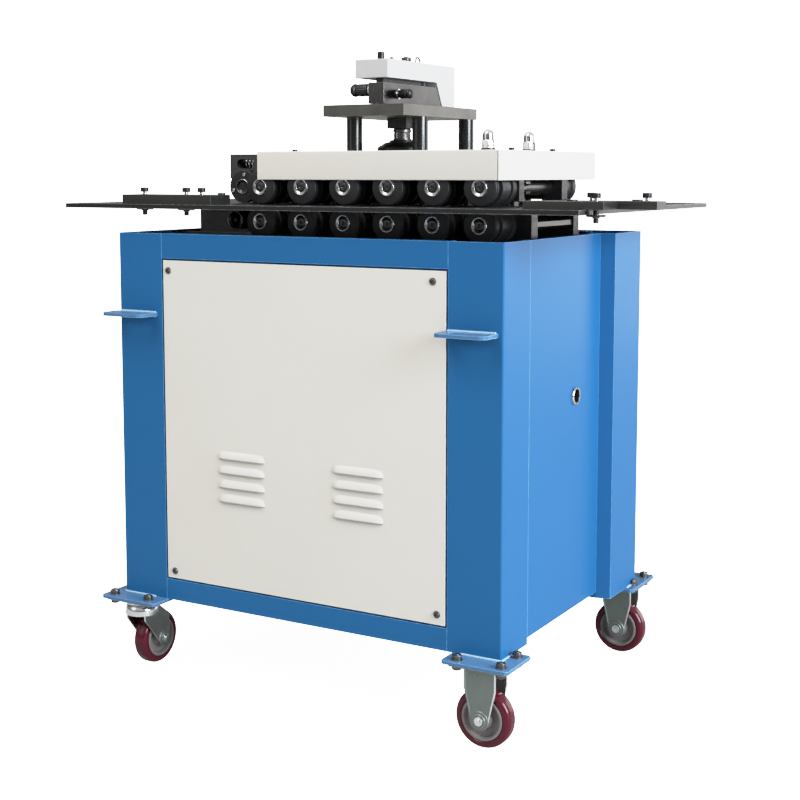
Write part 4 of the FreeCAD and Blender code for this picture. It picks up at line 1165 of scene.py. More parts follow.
                # The right rim goes to the chrome piece: a painted highlight along the fork's right edge.
                left, right = self.fork_rims(x, y + sign * (self.gap + 1.7))
                forks.add(self.strap(self.fork_outline(), sign, (x, y, 0), Axis.Y), left)
                trim.add(right)
            forks.add(block((x - self.fork_half, y - self.gap - 1, self.fork_bridge),
                            (x + self.fork_half, y + self.gap + 1, self.fork_high)))
            nuts, washers = self.axle((x, y, self.axle_level), Axis.Y)
            trim.add(*nuts)
            forks.add(*washers)
        piece("rigid_fork_frames", forks, [Coat.ZINC], stands_for=["rigid_forks"], edge=0.7)
        # rigid_axles also carries the right rims, whose chrome paints the highlight on the forks' right
        # edges.
        piece("rigid_axles", trim, [Coat.CHROME])

    def top_plate(self, corner: str) -> Shape:
        """Caster's own plate with rounded corners, under the pad.

        Args:
            corner: which caster it belongs to.

        Returns:
            The closed surface.
        """
        x, y = np.add(self.places[corner], self.plate_moves[corner])
        half_x, half_y = self.plate_half
        corners = [(x + a * half_x, y + b * half_y, self.plate_corner) for a in (-1, 1) for b in (-1, 1)]
        return prism(wrapped(corners), self.fork_high, self.pad_low)

    def swivel(self) -> None:
        """Swivel heads with their races, and the turning yokes with raked legs under a domed crown."""
        heads = Draft()
        race = [(22, 126), (28, 126), (31, 127.2), (31.5, 129), (31, 130.6), (29, 131.2), (29, 132.0),
                (31, 132.6), (31, self.fork_high), (22, self.fork_high)]
        for corner in ("front_left", "rear_left"):
            x, y = self.places[corner]
            heads.add(self.top_plate(corner))
            heads.add(spun(race, (x, y, 0), Axis.Z, 40), mark=1)
            yoke = Draft().add(self.crown(x, y))
            for sign in (1, -1):
                yoke.add(self.strap(self.yoke_outline(), sign, (x, y, 0), Axis.X))
            yoke.add(*hex_bolt((x, y, 121), 16, 5, Axis.Z, -1))
            nuts, washers = self.axle((x, y + self.trail, self.axle_level), Axis.X)
            yoke.add(*nuts)
            yoke.add(*washers, mark=1)
            piece("yoke_" + corner, yoke, [Coat.CHROME, Coat.ZINC], "swivel_" + corner,
                  ["swivel_yoke_" + corner], edge=0.8)
        piece("swivel_head_plates", heads, [Coat.ZINC, Coat.CHROME], stands_for=["swivel_heads"], edge=0.5)

    def crown(self, x: float, y: float) -> Shape:
        """Top of a yoke: a dished disc whose rim turns down over the legs.

        Args:
            x: the swivel's place.
            y: the swivel's place.

        Returns:
            The closed surface.
        """
        rows = [(10, 125.5), (23, 125.5), (27.0, 124.2), (29.5, 121.0), (30.8, 114.0), (31.2, 105.5),
                (29.8, 105.5), (29.2, 114.0), (27.6, 119.8), (25.5, 122.2), (10, 122.5)]
        return spun(rows, (x, y, 0), Axis.Z, 48, ring=True)

    def yoke_outline(self) -> Outline:
        """Raked leg of a yoke, from under its crown back to the axle's eye.

        Returns:
            The leg's outline, from the swivel's own axis.
        """
        circles = [(-15, 117, 5), (15, 117, 5), (-14, 98, 5), (self.trail + 8, 92, 6),
                   (self.trail, self.axle_level, self.fork_eye)]
        return wrapped(circles, 96)

    def pads(self) -> None:
        """Pads welded under the posts, with their corners cut, and the bolts through them."""
        plates, bolts, beads = Draft(), Draft(), Draft()
        for corner in self.places:
            plates.add(self.pad(corner))
            bolts.add(*self.pad_bolts(corner))
            beads.add(*self.pad_beads(corner))
        piece("caster_pad_plates", plates, [Coat.PAD], stands_for=["caster_pads"], edge=0.8)
        piece("caster_bolts", bolts, [Coat.GEAR])
        piece("pad_welds", beads, [Coat.WELD])

    def pad(self, corner: str) -> Shape:
        """Pad with its four corners cut.

        Args:
            corner: which caster it belongs to.

        Returns:
            The closed surface.
        """
        left, near, right, far = self.pad_boxes[corner]
        cut = self.pad_cut
        outline = np.array([(left + cut, near), (right - cut, near), (right, near + cut), (right, far - cut),
                            (right - cut, far), (left + cut, far), (left, far - cut), (left, near + cut)])
        return prism(outline, self.pad_low, self.pad_high)

    def outward_signs(self, corner: str) -> tuple[int, int]:
        """Signs of x and y that lead away from the cabinet at a corner."""
        x, y = self.places[corner]
        return (1 if x > 0 else -1), (1 if y > 0 else -1)

    def pad_bolts(self, corner: str) -> list[Shape]:
        """Bolts through a pad, each a nut on a washer above and a head below, but none under the post.

        Args:
            corner: which caster they belong to.

        Returns:
            All their shapes.
        """
        x, y = np.add(self.places[corner], self.plate_moves[corner])
        side, back = self.outward_signs(corner)
        shapes = []
        for along in (-1, 1):
            for across in (-1, 1):
                if along != side and across != back:
                    continue
                spot = (x + along * self.bolt_reach[0], y + across * self.bolt_reach[1])
                shapes += hex_bolt((*spot, self.pad_high), self.bolt_across, 7, Axis.Z, 1, washer=9.2,
                                   turn=0.2 + 0.5 * along)
                shapes += hex_bolt((*spot, self.fork_high), self.bolt_across, 5, Axis.Z, -1, washer=9)
        return shapes

    def pad_beads(self, corner: str) -> list[Shape]:
        """Weld beads along the two faces of the post that stands on a pad.

        Args:
            corner: which caster they belong to.

        Returns:
            The two beads.
        """
        side, back = self.outward_signs(corner)
        front_half, rear_half, half_depth = self.cabinet_halves
        x = side * (rear_half if back > 0 else front_half)
        y = back * half_depth
        level = self.pad_high + 0.5
        along, across = self.weld_runs
        return [bead((x - side * along, y + back, level), (x, y + back, level), 2.0, 4.5),
                bead((x + side, y, level), (x + side, y - back * across, level), 2.0, 4.5)]

    def build(self) -> None:
        """Make all four casters."""
        self.pads()
        self.rigid()
        self.swivel()
        for corner in ("front_right", "rear_right"):
            x, y = self.places[corner]
            self.wheel(corner, (x, y, self.axle_level), Axis.Y)
        for corner in ("front_left", "rear_left"):
            x, y = self.places[corner]
            self.wheel(corner, (x, y + self.trail, self.axle_level), Axis.X)


class Level(Enum):
    """Height of the shafts' axes, below the sheet and above it."""

    LOWER = 845.4
    UPPER = 907.2


@dataclass
class RollHead:
    """Six pairs of forming rolls, the drive at the entry, the gear train and the rear rolls."""

    drive_x: float = -212
    first_x: float = -124
    pitch: float = 88
    stations: int = 6
    roll_radius: float = 30.6
    front: float = -200
    back: float = -120
    shaft: float = 13.9
    shaft_front: float = -121
    shaft_back: float = 58
    gear_front: float = -90
    gear_back: float = -74
    gear_hub: float = 19
    gear_lip: float = 1.5
    teeth: int = 12
    tip: float = 34.0
    root: float = 26.0
    sprocket_teeth: int = 18
    sprocket_tip: float = 29.8
    sprocket_root: float = 25.0
    sprocket_ends: tuple[float, float] = (-69.5, -63.5)
    disc_front: float = -132
    disc_screws: tuple[float, ...] = (200, 80, 320)
    disc_screw_circle: float = 22
    rear_front: float = 85
    rear_back: float = 132
    rear_radius: float = 30.2

    def meshed(self, phase: float, direction: float) -> float:
        """Tooth angle of a gear whose gap meets the other's tooth on the line of centres.

        Args:
            phase: the other gear's tooth angle in degrees.
            direction: angle of the line from the other gear to this one.

        Returns:
            This gear's tooth angle in degrees.
        """
        step = 360 / self.teeth
        return direction + 180 - (0.5 - (direction - phase) / step) * step

    def gear(self, centre: Point, phase: float) -> list[Shape]:
        """Spur gear with a raised hub.

        Args:
            centre: a point on its axis, from which the heights along y count.
            phase: its tooth angle in degrees.

        Returns:
            The toothed wheel and the hub.
        """
        wheel = prism(toothed(self.teeth, self.tip, self.root, phase), self.gear_front, self.gear_back,
                      Axis.Y, centre)
        hub = [(self.gear_hub, self.gear_front - self.gear_lip),
               (self.gear_hub, self.gear_back + self.gear_lip)]
        return [wheel, spun(hub, centre, Axis.Y, 32)]

    def profile(self, station: int, level: Level) -> list[tuple[Radius, float]]:
        """Rows of a forming roll: grooves and collars that change from station to station.

        The radius drops from the roll's own at each shoulder and never passes it.

        Args:
            station: which pair the roll belongs to, from 1.
            level: whether it is the lower or the upper roll.

        Returns:
            Radius and height of each row.
        """
        r = self.roll_radius
        groove = 4 + 1.6 * station
        first = self.front + 16 - station
        second = self.front + 42 + 2 * station
        depth = 3.5 + 0.7 * station if level is Level.UPPER else 2.5 + 0.5 * station
        rows = [(r - 2.6, self.front), (r - 1.0, self.front + 0.6), (r, self.front + 2.2)]
        for start, width, down in ((first, groove, depth), (second, groove * 0.7, depth * 0.8)):
            rows += [(r, start), (r - down, start + 1.6), (r - down, start + width), (r, start + width + 1.8)]
        rows += [(r, self.back - 1.2), (r - 1.2, self.back)]
        return rows

    def nose(self, centre: Point) -> tuple[Shape, Shape]:
        """End of a roll's shaft, sunk in a bevelled ring.

        Args:
            centre: a point on the shaft's axis.

        Returns:
            The bright ring, and the dark shaft end with its centre.
        """
        f = self.front
        ring = [(14.4, f + 3), (14.4, f - 2.6), (13.6, f - 3.4), (13.0, f - 3.3), (11.5, f - 2.7),
                (10.0, f - 2.0), (8.8, f - 1.3), (8.4, f + 2)]
        dish = [(8.6, f + 4), (8.6, f - 1.2), (8.2, f - 1.4), (3.4, f - 1.4), (2.2, f + 0.5)]
        return spun(ring, centre, Axis.Y, 64, ring=True), spun(dish, centre, Axis.Y, 48)

    def rear_roll(self, centre: Point, station: int) -> Shape:
        """Roll on the shaft's rear end, with one groove.

        Args:
            centre: a point on the shaft's axis.
            station: which pair it belongs to, from 1.

        Returns:
            The closed surface.
        """
        r = self.rear_radius
        middle = (self.rear_front + self.rear_back) / 2
        wide = 3 + station
        rows = [(r - 1.5, self.rear_front), (r, self.rear_front + 1.5), (r, middle - wide),
                (r - 4, middle - wide + 2), (r - 4, middle + wide - 2), (r, middle + wide),
                (r, self.rear_back - 1.5), (r - 1.5, self.rear_back)]
        return spun(rows, centre, Axis.Y, 48)

    def shaft_set(self, station: int, level: Level, phase: float) -> None:
        """One roll with its nose, shaft, gear and rear roll.

        Args:
            station: which pair it belongs to, from 1.
            level: whether it is the lower or the upper roll.
            phase: its gear's tooth angle in degrees.
        """
        name = level.name.lower()
        centre = (self.first_x + self.pitch * (station - 1), 0, level.value)
        shaft = [(self.shaft, self.back - 1), (self.shaft, self.rear_back + 4),
                 (self.shaft - 1.5, self.rear_back + 5.5)]
        bright, dark = self.nose(centre)
        draft = Draft().add(spun(self.profile(station, level), centre, Axis.Y, 64))
        draft.add(bright, mark=1)
        draft.add(dark, mark=2)
        draft.add(spun(shaft, centre, Axis.Y, 32), *self.gear(centre, phase), mark=3)
        draft.add(self.rear_roll(centre, station))
        draft.add(*hex_bolt((centre[0], self.rear_back, centre[2]), 19, 5, Axis.Y, 1), mark=1)
        piece("%s_roll_set_%d" % (name, station), draft, [Coat.ROLL, Coat.NOSE, Coat.BORE, Coat.GEAR],
              "%s_roll_%d" % (name, station), ["%s_roll_shaft_%d" % (name, station)], edge=0.4)

    def drive(self, phase: float) -> None:
        """Drive shaft with its gear, sprocket and boss.

        Args:
            phase: the gear's tooth angle in degrees.
        """
        centre = (self.drive_x, 0, Level.LOWER.value)
        shaft = [(self.shaft, self.shaft_front), (self.shaft, self.shaft_back)]
        teeth = toothed(self.sprocket_teeth, self.sprocket_tip, self.sprocket_root, 0)
        boss = [(15.5, -156), (17.4, -154.5), (17.4, -121), (17.4, -120), (12, -120)]
        ring = [(17.2, -155), (17.2, -157.6), (16.4, -158.4), (15.8, -158.2), (15.4, -154)]
        dish = [(15.5, -153), (15.5, -158.0), (13.8, -157.2), (11.5, -156.2), (11.0, -156.0), (3.6, -156.0),
                (2.2, -153)]
        draft = Draft().add(spun(shaft, centre, Axis.Y, 32), *self.gear(centre, phase),
                            prism(teeth, *self.sprocket_ends, Axis.Y, centre))
        draft.add(spun(boss, centre, Axis.Y, 48), mark=1)
        draft.add(spun(ring, centre, Axis.Y, 48, ring=True), mark=2)
        draft.add(spun(dish, centre, Axis.Y, 48), mark=3)
        piece("drive_shaft_set", draft, [Coat.GEAR, Coat.ROLL, Coat.NOSE, Coat.BORE], "drive_shaft",
              ["drive_shaft"], edge=0.4)

    def entry(self, phase: float) -> None:
        """Entry shaft over the drive shaft, with its gear and its disc.

        Args:
            phase: the gear's tooth angle in degrees.
        """
        centre = (self.drive_x, 0, Level.UPPER.value)
        r, f = self.roll_radius, self.disc_front
        shaft = [(self.shaft, self.shaft_front), (self.shaft, self.shaft_back)]
        disc = [(r - 1.2, f), (r, f + 1.2), (r, self.shaft_front - 0.2), (r - 1.2, self.back)]
        ring = [(13.6, -130), (13.6, -133.6), (12.9, -134.3), (12.3, -134.1), (12.0, -129)]
        dish = [(12.1, -129), (12.1, -133.9), (10.3, -133.1), (8.2, -132.1), (7.8, -131.9), (3.4, -131.9),
                (2.2, -130)]
        draft = Draft().add(spun(disc, centre, Axis.Y, 64))
        draft.add(spun(ring, centre, Axis.Y, 48, ring=True), mark=1)
        draft.add(spun(dish, centre, Axis.Y, 48), mark=2)
        draft.add(spun(shaft, centre, Axis.Y, 32), *self.gear(centre, phase), mark=3)
        for angle in map(math.radians, self.disc_screws):
            spot = (centre[0] + self.disc_screw_circle * math.cos(angle), f,
                    centre[2] + self.disc_screw_circle * math.sin(angle))
            draft.add(socket_screw(spot, 3.6, 2.4, Axis.Y, -1), mark=1)
        piece("entry_disc_set", draft, [Coat.ROLL, Coat.NOSE, Coat.BORE, Coat.GEAR], "entry_shaft",
              ["entry_shaft"], edge=0.4)

    def idler(self, station: int, phase: float) -> None:
        """Idler gear between a station's shaft and the one before, on its stub with a nut.

        Args:
            station: which station it drives, from 1.
            phase: its tooth angle in degrees.
        """
        centre = (self.first_x + self.pitch * (station - 1.5), 0, Level.LOWER.value - self.pitch / 2)
        stub = [(9.5, self.gear_front - 3.6), (9.5, self.gear_front)]
        draft = Draft().add(*self.gear(centre, phase))
        draft.add(*hex_bolt((centre[0], self.gear_back + self.gear_lip, centre[2]), 16, 5, Axis.Y, 1), mark=1)
        draft.add(spun(stub, centre, Axis.Y, 24))
        piece("idler_%d" % station, draft, [Coat.GEAR, Coat.BLACK], "idler_gear_%d" % station,
              ["idler_gear_%d" % station], edge=0.4)

    def build(self) -> None:
        """Make the drive, then each station's idler and its two rolls, with their teeth in mesh."""
        phase = 90.0
        self.drive(phase)
        self.entry(self.meshed(phase, 90))
        for station in range(1, self.stations + 1):
            idler_phase = self.meshed(phase, -45)
            self.idler(station, idler_phase)
            phase = self.meshed(idler_phase, 45)
            self.shaft_set(station, Level.LOWER, phase)
            self.shaft_set(station, Level.UPPER, self.meshed(phase, 90))
        dress(Coat.PLATE, "lower_front_plate", "lower_rear_plate", "upper_front_plate", "upper_rear_plate",
              "bed_beams")
        dress(Coat.GEAR, "plate_spacers")


@dataclass
class ChainDrive:
    """Roller chain from the gear motor up to the drive shaft, and the motor's sprocket."""

    x: float = -212
    low: float = 300
    high: float = Level.LOWER.value
    reach: float = 33
    front: float = -69.5
    back: float = -63.5
    hub_back: float = -59.2
    pitch: float = 12.7
    link_radius: float = 4.6
    link_wall: float = 0.9
    link_gaps: tuple[float, float] = (1.9, 2.9)
    roller: tuple[float, float] = (3.2, 1.2)

    def route(self, run: np.ndarray) -> tuple[np.ndarray, np.ndarray]:
        """Points of the loop: two straights and two half circles.

        Args:
            run: distances along the loop.

        Returns:
            The points (u, v), and the direction's angle at each.
        """
        straight = self.high - self.low
        arc = math.pi * self.reach
        run = run % (2 * straight + 2 * arc)
        rising = run < straight
        over = (run >= straight) & (run < straight + arc)
        falling = (run >= straight + arc) & (run < 2 * straight + arc)
        top = (run - straight) / self.reach
        base = (run - 2 * straight - arc) / self.reach
        u = np.select([rising, over, falling], [self.reach, self.reach * np.cos(top), -self.reach],
                      -self.reach * np.cos(base))
        v = np.select([rising, over, falling], [self.low + run, self.high + self.reach * np.sin(top),
                                                self.high - (run - straight - arc)],
                      self.low - self.reach * np.sin(base))
        angle = np.select([rising, over, falling], [np.pi / 2, np.pi / 2 + top, -np.pi / 2],
                          -np.pi / 2 + base)
        return np.stack([self.x + u, v], axis=-1), angle

    def links(self) -> list[Shape]:
        """Two plates and a roller for each link, wide and narrow links by turns.

        Returns:
            All their shapes.
        """
        loop = 2 * (self.high - self.low) + 2 * math.pi * self.reach
        count = 2 * round(loop / self.pitch / 2)
        step = loop / count
        pins = self.route(np.arange(count) * step + 0.001)[0]
        ahead = np.roll(pins, -1, axis=0) - pins
        middles = (pins + np.roll(pins, -1, axis=0)) / 2
        turn = np.arctan2(ahead[:, 1], ahead[:, 0])
        section = wrapped([(-step / 2, 0, self.link_radius), (step / 2, 0, self.link_radius)], 12)
        centre = (self.front + self.back) / 2
        radius, half = self.roller
        shapes = []
        for k in range(count):
            c, s = math.cos(turn[k]), math.sin(turn[k])
            outline = section @ np.array([[c, s], [-s, c]]) + middles[k]
            gap = self.link_gaps[k % 2]
            for sign in (1, -1):
                low, high = sorted([centre + sign * (gap - self.link_wall), centre + sign * gap])
                shapes.append(prism(outline, low, high, Axis.Y))
            shapes.append(spun([(radius, centre - half), (radius, centre + half)],
                               (pins[k][0], 0, pins[k][1]), Axis.Y, 8))
        return shapes

    def build(self) -> None:
        """Make the chain's links as one mesh, and the sprocket."""
        piece("drive_chain_links", Draft().add(*self.links()), [Coat.CHAIN], stands_for=["drive_chain"])
        centre = (self.x, 0, self.low)
        wheel = Draft().add(prism(toothed(18, 28.8, 25.0, 0), self.front, self.back, Axis.Y, centre))
        wheel.add(spun([(13.5, self.back), (13.5, self.hub_back)], centre, Axis.Y, 32))
        piece("motor_sprocket_wheel", wheel, [Coat.GEAR], "motor_sprocket", ["motor_sprocket"], edge=0.3)
        dress(Coat.MOTOR, "gear_motor")


@dataclass
class TopCover:
    """Sheet cover over the rolls, with the two tall acorn nuts, small screws, and the end window's spring."""

    left: float = -127
    right: float = 352
    front: float = -205
    back: float = 206
    low: float = 920
    high: float = 970
    wall: float = 3
    nuts: tuple[tuple[float, float], ...] = ((295, -128), (295, 35))
    screws: tuple[tuple[float, float], ...] = ((340, -131), (340, 37), (-95, -131), (-95, 37))
    spring_run: tuple[float, float] = (-231, -200)
    spring_axis: tuple[float, float] = (-94.5, 949)
    spring_turns: int = 4
    spring_reach: float = 6.0
    spring_wire: float = 2.0

    def shell(self) -> None:
        """Fold the cover: a lid with a skirt on three sides, open to the left."""
        lid = block((self.left, self.front, self.high - self.wall), (self.right, self.back, self.high))
        front = block((self.left, self.front, self.low), (self.right, self.front + self.wall, self.high - 1))
        back = block((self.left, self.back - self.wall, self.low), (self.right, self.back, self.high - 1))
        end = block((self.right - self.wall, self.front, self.low), (self.right, self.back, self.high - 1))
        piece("cover_shell", Draft().add(lid, front, back, end), [Coat.CREAM], stands_for=["roll_cover"],
              edge=1.2)

    def acorns(self) -> None:
        """Tall domed hexagon nuts on black washers."""
        side = flats(6, 21)
        washer = [(12.6, 0), (12.6, 3.2), (11.8, 4.0)]
        turn = np.linspace(0, np.pi / 2, 9)[:-1]
        dome = [(9.6 * math.cos(a), 25.5 + 10.0 * math.sin(a)) for a in turn]
        rows = [(dulled(side, 11.2), 4.0), (side, 5.2), (side, 15.6), (dulled(side, 10.8), 17.0),
                (9.6, 17.6), *dome]
        nuts = Draft()
        for x, y in self.nuts:
            nuts.add(spun(washer, (x, y, self.high), Axis.Z, 40), mark=1)
            nuts.add(spun(rows, (x, y, self.high), Axis.Z, 36))
        piece("acorn_nut_pair", nuts, [Coat.BRIGHT, Coat.BLACK], stands_for=["acorn_nuts"])

    def spring(self) -> None:
        """Pressure spring behind the window: a helix on its plunger, before a dark backing sheet that stands
        in for the shade behind the window.
        """
        y, z = self.spring_axis
        turn = np.linspace(0, 2 * np.pi * self.spring_turns, self.spring_turns * 24 + 1)
        run = np.linspace(*self.spring_run, len(turn))
        path = np.stack([run, y + self.spring_reach * np.cos(turn), z + self.spring_reach * np.sin(turn)], -1)
        away = np.stack([np.zeros_like(turn), np.cos(turn), np.sin(turn)], axis=-1)
        plunger = [(3.0, -240.5), (5.6, -239.5), (6.6, -238), (6.6, -235), (3.2, -234.6), (3.2, -196)]
        coil = Draft().add(tube(path, self.spring_wire, away, 10))
        # The thin black sheet behind the coil is painted shade behind the window.
        coil.add(spun(plunger, (0, y, z), Axis.X, 32), block((-246, -87, 936), (-187, -85, 964)),
                 block((-192.5, -99.5, 942), (-189, -86, 958)), mark=1)
        piece("window_spring_coil", coil, [Coat.BRIGHT, Coat.BLACK], stands_for=["window_spring"])

    def build(self) -> None:
        """Make the cover, its nuts and screws, and the spring behind the window."""
        self.shell()
        self.acorns()
        heads = Draft().add(*[socket_screw((x, y, self.high), 5.2, 4.5) for x, y in self.screws])
        piece("cover_screws", heads, [Coat.BLACK])
        self.spring()


@dataclass
class Table:
    """Table plate and the two guides that slide across it under their clamping screws."""

    top: float = 876
    low: float = 868
    guide_front: float = -270
    guide_back: float = -212
    screw_row: float = -241
    left: tuple[float, float] = (-385, -182)
    left_high: float = 893
    left_clamps: tuple[float, ...] = (-356, -259)
    left_screw: float = -224
    left_stop: tuple[float, float] = (-193, -223)
    right: tuple[float, float] = (426, 561)
    right_bar: tuple[float, float, float] = (470, 625, -172)
    right_high: float = 889
    right_clamp: float = 537
    bar_row: float = -191
    bar_screws: tuple[float, ...] = (509, 601)
    low_heads: tuple[tuple[float, float], ...] = ((497, -241), (585, -191))

    def raised_screw(self, draft: Draft, x: float, y: float, level: float) -> None:
        """Bare shank over the bar and the cap screw's head on it.

        Args:
            draft: the guide's draft.
            x: the screw's place along the table.
            y: its place across.
            level: the bar's top.
        """
        draft.add(spun([(3.4, level), (3.4, level + 4.9)], (x, y, 0), Axis.Z, 24), mark=2)
        draft.add(socket_screw((x, y, level + 4.6), 7.4, 8.2), mark=1)

    def clamp(self, draft: Draft, x: float, y: float, level: float) -> None:
        """Raised screw with its flange nut and stud under the table.

        Args:
            draft: the guide's draft.
            x: the clamp's place along the table.
            y: its place across.
            level: the bar's top.
        """
        self.raised_screw(draft, x, y, level)
        flange = [(15.5, self.low), (15.5, self.low - 2.4), (14.5, self.low - 3.2), (6, self.low - 3.6),
                  (6, self.low - 5)]
        stud = [(4.4, level), (4.4, self.low - 12.4), (3.6, self.low - 13)]
        draft.add(spun(flange, (x, y, 0), Axis.Z, 32), spun(stud, (x, y, 0), Axis.Z, 16), mark=1)

    def left_guide(self) -> None:
        """Left bar with two clamps, a raised screw and a low head at its end."""
        start, end = self.left
        bar = block((start, self.guide_front, self.top), (end, self.guide_back, self.left_high))
        draft = Draft().add(bar)
        for x in self.left_clamps:
            self.clamp(draft, x, self.screw_row, self.left_high)
        self.raised_screw(draft, self.left_screw, self.screw_row, self.left_high)
        draft.add(socket_screw((*self.left_stop, self.left_high), 7.0, 3.6), mark=1)
        piece("left_guide_bars", draft, [Coat.GUIDE, Coat.BLACK, Coat.BRIGHT], "left_guide",
              ["left_guide"], edge=0.8)

    def right_guide(self) -> None:
        """Right bar with its clamp and the narrower bar behind it with its screws."""
        start, end = self.right
        bar_start, bar_end, bar_back = self.right_bar
        bar = block((start, self.guide_front, self.top), (end, self.guide_back, self.right_high))
        narrow = block((bar_start, self.guide_back, self.top), (bar_end, bar_back, self.right_high))
        draft = Draft().add(bar, narrow)
        self.clamp(draft, self.right_clamp, self.screw_row, self.right_high)
        for x in self.bar_screws:
            self.raised_screw(draft, x, self.bar_row, self.right_high)
        for x, y in self.low_heads:
            draft.add(socket_screw((x, y, self.right_high), 8.5, 2.4), mark=1)
        piece("right_guide_bars", draft, [Coat.GUIDE, Coat.BLACK, Coat.BRIGHT], "right_guide",
              ["right_guide"], edge=0.8)

    def build(self) -> None:
        """Make both guides and give the table its finish."""
        self.left_guide()
        self.right_guide()
        dress(Coat.TABLE, "table_plate")


@dataclass
class FlangingHead:
    """Plate on four posts over the cover, with the painted arm, the lever under it and the dish spindle."""

    left: float = -2
    right: float = 161
    front: float = -180
    back: float = 93
    low: float = 1030
    high: float = 1050
    posts: tuple[tuple[float, float], ...] = ((12, -98), (147, -98), (12, 77), (147, 77))
    post_radius: float = 14
    post_hole: float = 7.2
    cover: float = 970
    block_half: float = 20
    block_low: float = 1012
    arm_left: float = 51
    arm_right: float = 117
    arm_front: float = -158
    arm_back: float = 88
    arm_low: float = 1096
    arm_top: float = 1128
    throat: tuple[float, float] = (18, 41.5)
    cap_place: float = -126
    plug_place: float = -88
    nut_place: float = -37
    eye_place: float = 5
    spindle: tuple[float, float] = (79.5, -43.5)
    lever_left: float = 86
    lever_ends: tuple[float, float, float] = (-172, 16.5, 36)
    lever_low: float = 1051
    lever_high: float = 1087
    grip_at: tuple[float, float] = (-160, 1075)
    knob_at: tuple[float, float] = (-122, 1069)
    pivot: tuple[float, float] = (101.5, -6)
    pivot_radius: float = 5.9

    def stand(self) -> None:
        """Posts, and the plate on them with its bearing block and its sunk screws."""
        draft, r = Draft(), self.post_radius
        for x, y in self.posts:
            draft.add(spun([(r, self.cover), (r, self.low)], (x, y, 0), Axis.Z, 48))
        piece("head_posts", draft, [Coat.POST], stands_for=["flanging_posts"])
        holes = [round_outline(self.post_hole, x, y) for x, y in self.posts]
        outline = rectangle(self.left, self.front, self.right, self.back)
        plate = Draft().add(prism(outline, self.low, self.high, holes=holes))
        x, y = self.spindle
        h = self.block_half
        plate.add(block((x - h, y - h, self.block_low), (x + h, y + h, self.low)), mark=1)
        rows = [(7.1, self.low), (7.1, self.high - 2.4), (6.2, self.high - 1.6),
                (flats(6, 6.4), self.high - 1.6), (flats(6, 6.4), self.high - 5)]
        for x, y in self.posts:
            plate.add(spun(rows, (x, y, 0), Axis.Z, HEX_SIDES), mark=1)
        piece("head_plate", plate, [Coat.HEAD_PLATE, Coat.BLACK], stands_for=["flanging_plate"], edge=0.8)

    def arm(self) -> None:
        """Painted arm with its sloping throat, the pivot under it, and a dark block in its slit that stands
        in for the shade there.
        """
        throat_top, throat_base = self.throat
        section = np.array([(self.arm_front, self.arm_low), (throat_top, self.arm_low),
                            (throat_base, self.high), (self.arm_back, self.high),
                            (self.arm_back, self.arm_top), (self.arm_front, self.arm_top)])
        draft = Draft().add(prism(section, self.arm_left, self.arm_right, Axis.X))
        # The pivot, and a dark block filling the slit between lever and arm as painted shade.
        draft.add(spun([(self.pivot_radius, self.high), (self.pivot_radius, self.arm_low)], (*self.pivot, 0),
                       Axis.Z, 24),
                  block((self.lever_left + 2, self.arm_front + 8, self.lever_high + 1),
                        (self.arm_right - 14, 8, self.arm_low)), mark=1)
        piece("arm_beam", draft, [Coat.ARM, Coat.ROLL], stands_for=["flanging_arm"], edge=1.0)

    def fasteners(self) -> None:
        """Row on top of the arm: a cap screw, a plug, a nut and a lifting eye."""
        x = (self.arm_left + self.arm_right) / 2
        top = self.arm_top
        plug = [(4.0, top), (4.0, top + 6), (3.0, top + 8.5)]
        angle = np.linspace(0, 2 * np.pi, 40, endpoint=False)
        eye = np.stack([np.full(40, x), self.eye_place + 8 * np.cos(angle),
                        top + 6.5 + 7 * np.sin(angle)], axis=-1)
        row = Draft().add(socket_screw((x, self.cap_place, top), 6.2, 14.6))
        row.add(*hex_bolt((x, self.nut_place, top), 16.5, 9, Axis.Z, 1, washer=9.5), mark=1)
        row.add(spun(plug, (x, self.plug_place, 0), Axis.Z, 20),
                tube(eye, 1.7, np.array([1.0, 0.0, 0.0]), 10, ring=True), mark=1)
        piece("arm_top_fasteners", row, [Coat.BLACK, Coat.GEAR], stands_for=["arm_fasteners"])

    def lever(self) -> None:
        """Lever bar with its knurled grip to the left and its knob to the right, each on a bright collar."""
        front, top_end, low_end = self.lever_ends
        side = np.array([(front, self.lever_low), (low_end, self.lever_low), (top_end, self.lever_high),
                         (front, self.lever_high)])
        grip, knob = (self.lever_left, *self.grip_at), (self.arm_right, *self.knob_at)
        draft = Draft().add(prism(side, self.lever_left, self.arm_right, Axis.X))
        draft.add(self.handle(grip, 11.5, 42, -1), mark=1)
        draft.add(spun([(11.8, 0), (11.8, -2.2), (9.0, -2.2), (9.0, 0)], grip, Axis.X, 40, ring=True), mark=2)
        draft.add(self.handle(knob, 8.5, 28, 1), mark=1)
        draft.add(spun([(8.9, 0), (8.9, 2.0), (6.5, 2.0), (6.5, 0)], knob, Axis.X, 40, ring=True), mark=2)
        piece("lever_bar_set", draft, [Coat.LEVER, Coat.BLACK, Coat.BRIGHT], "flanging_lever",
              ["flanging_lever"], edge=0.7)

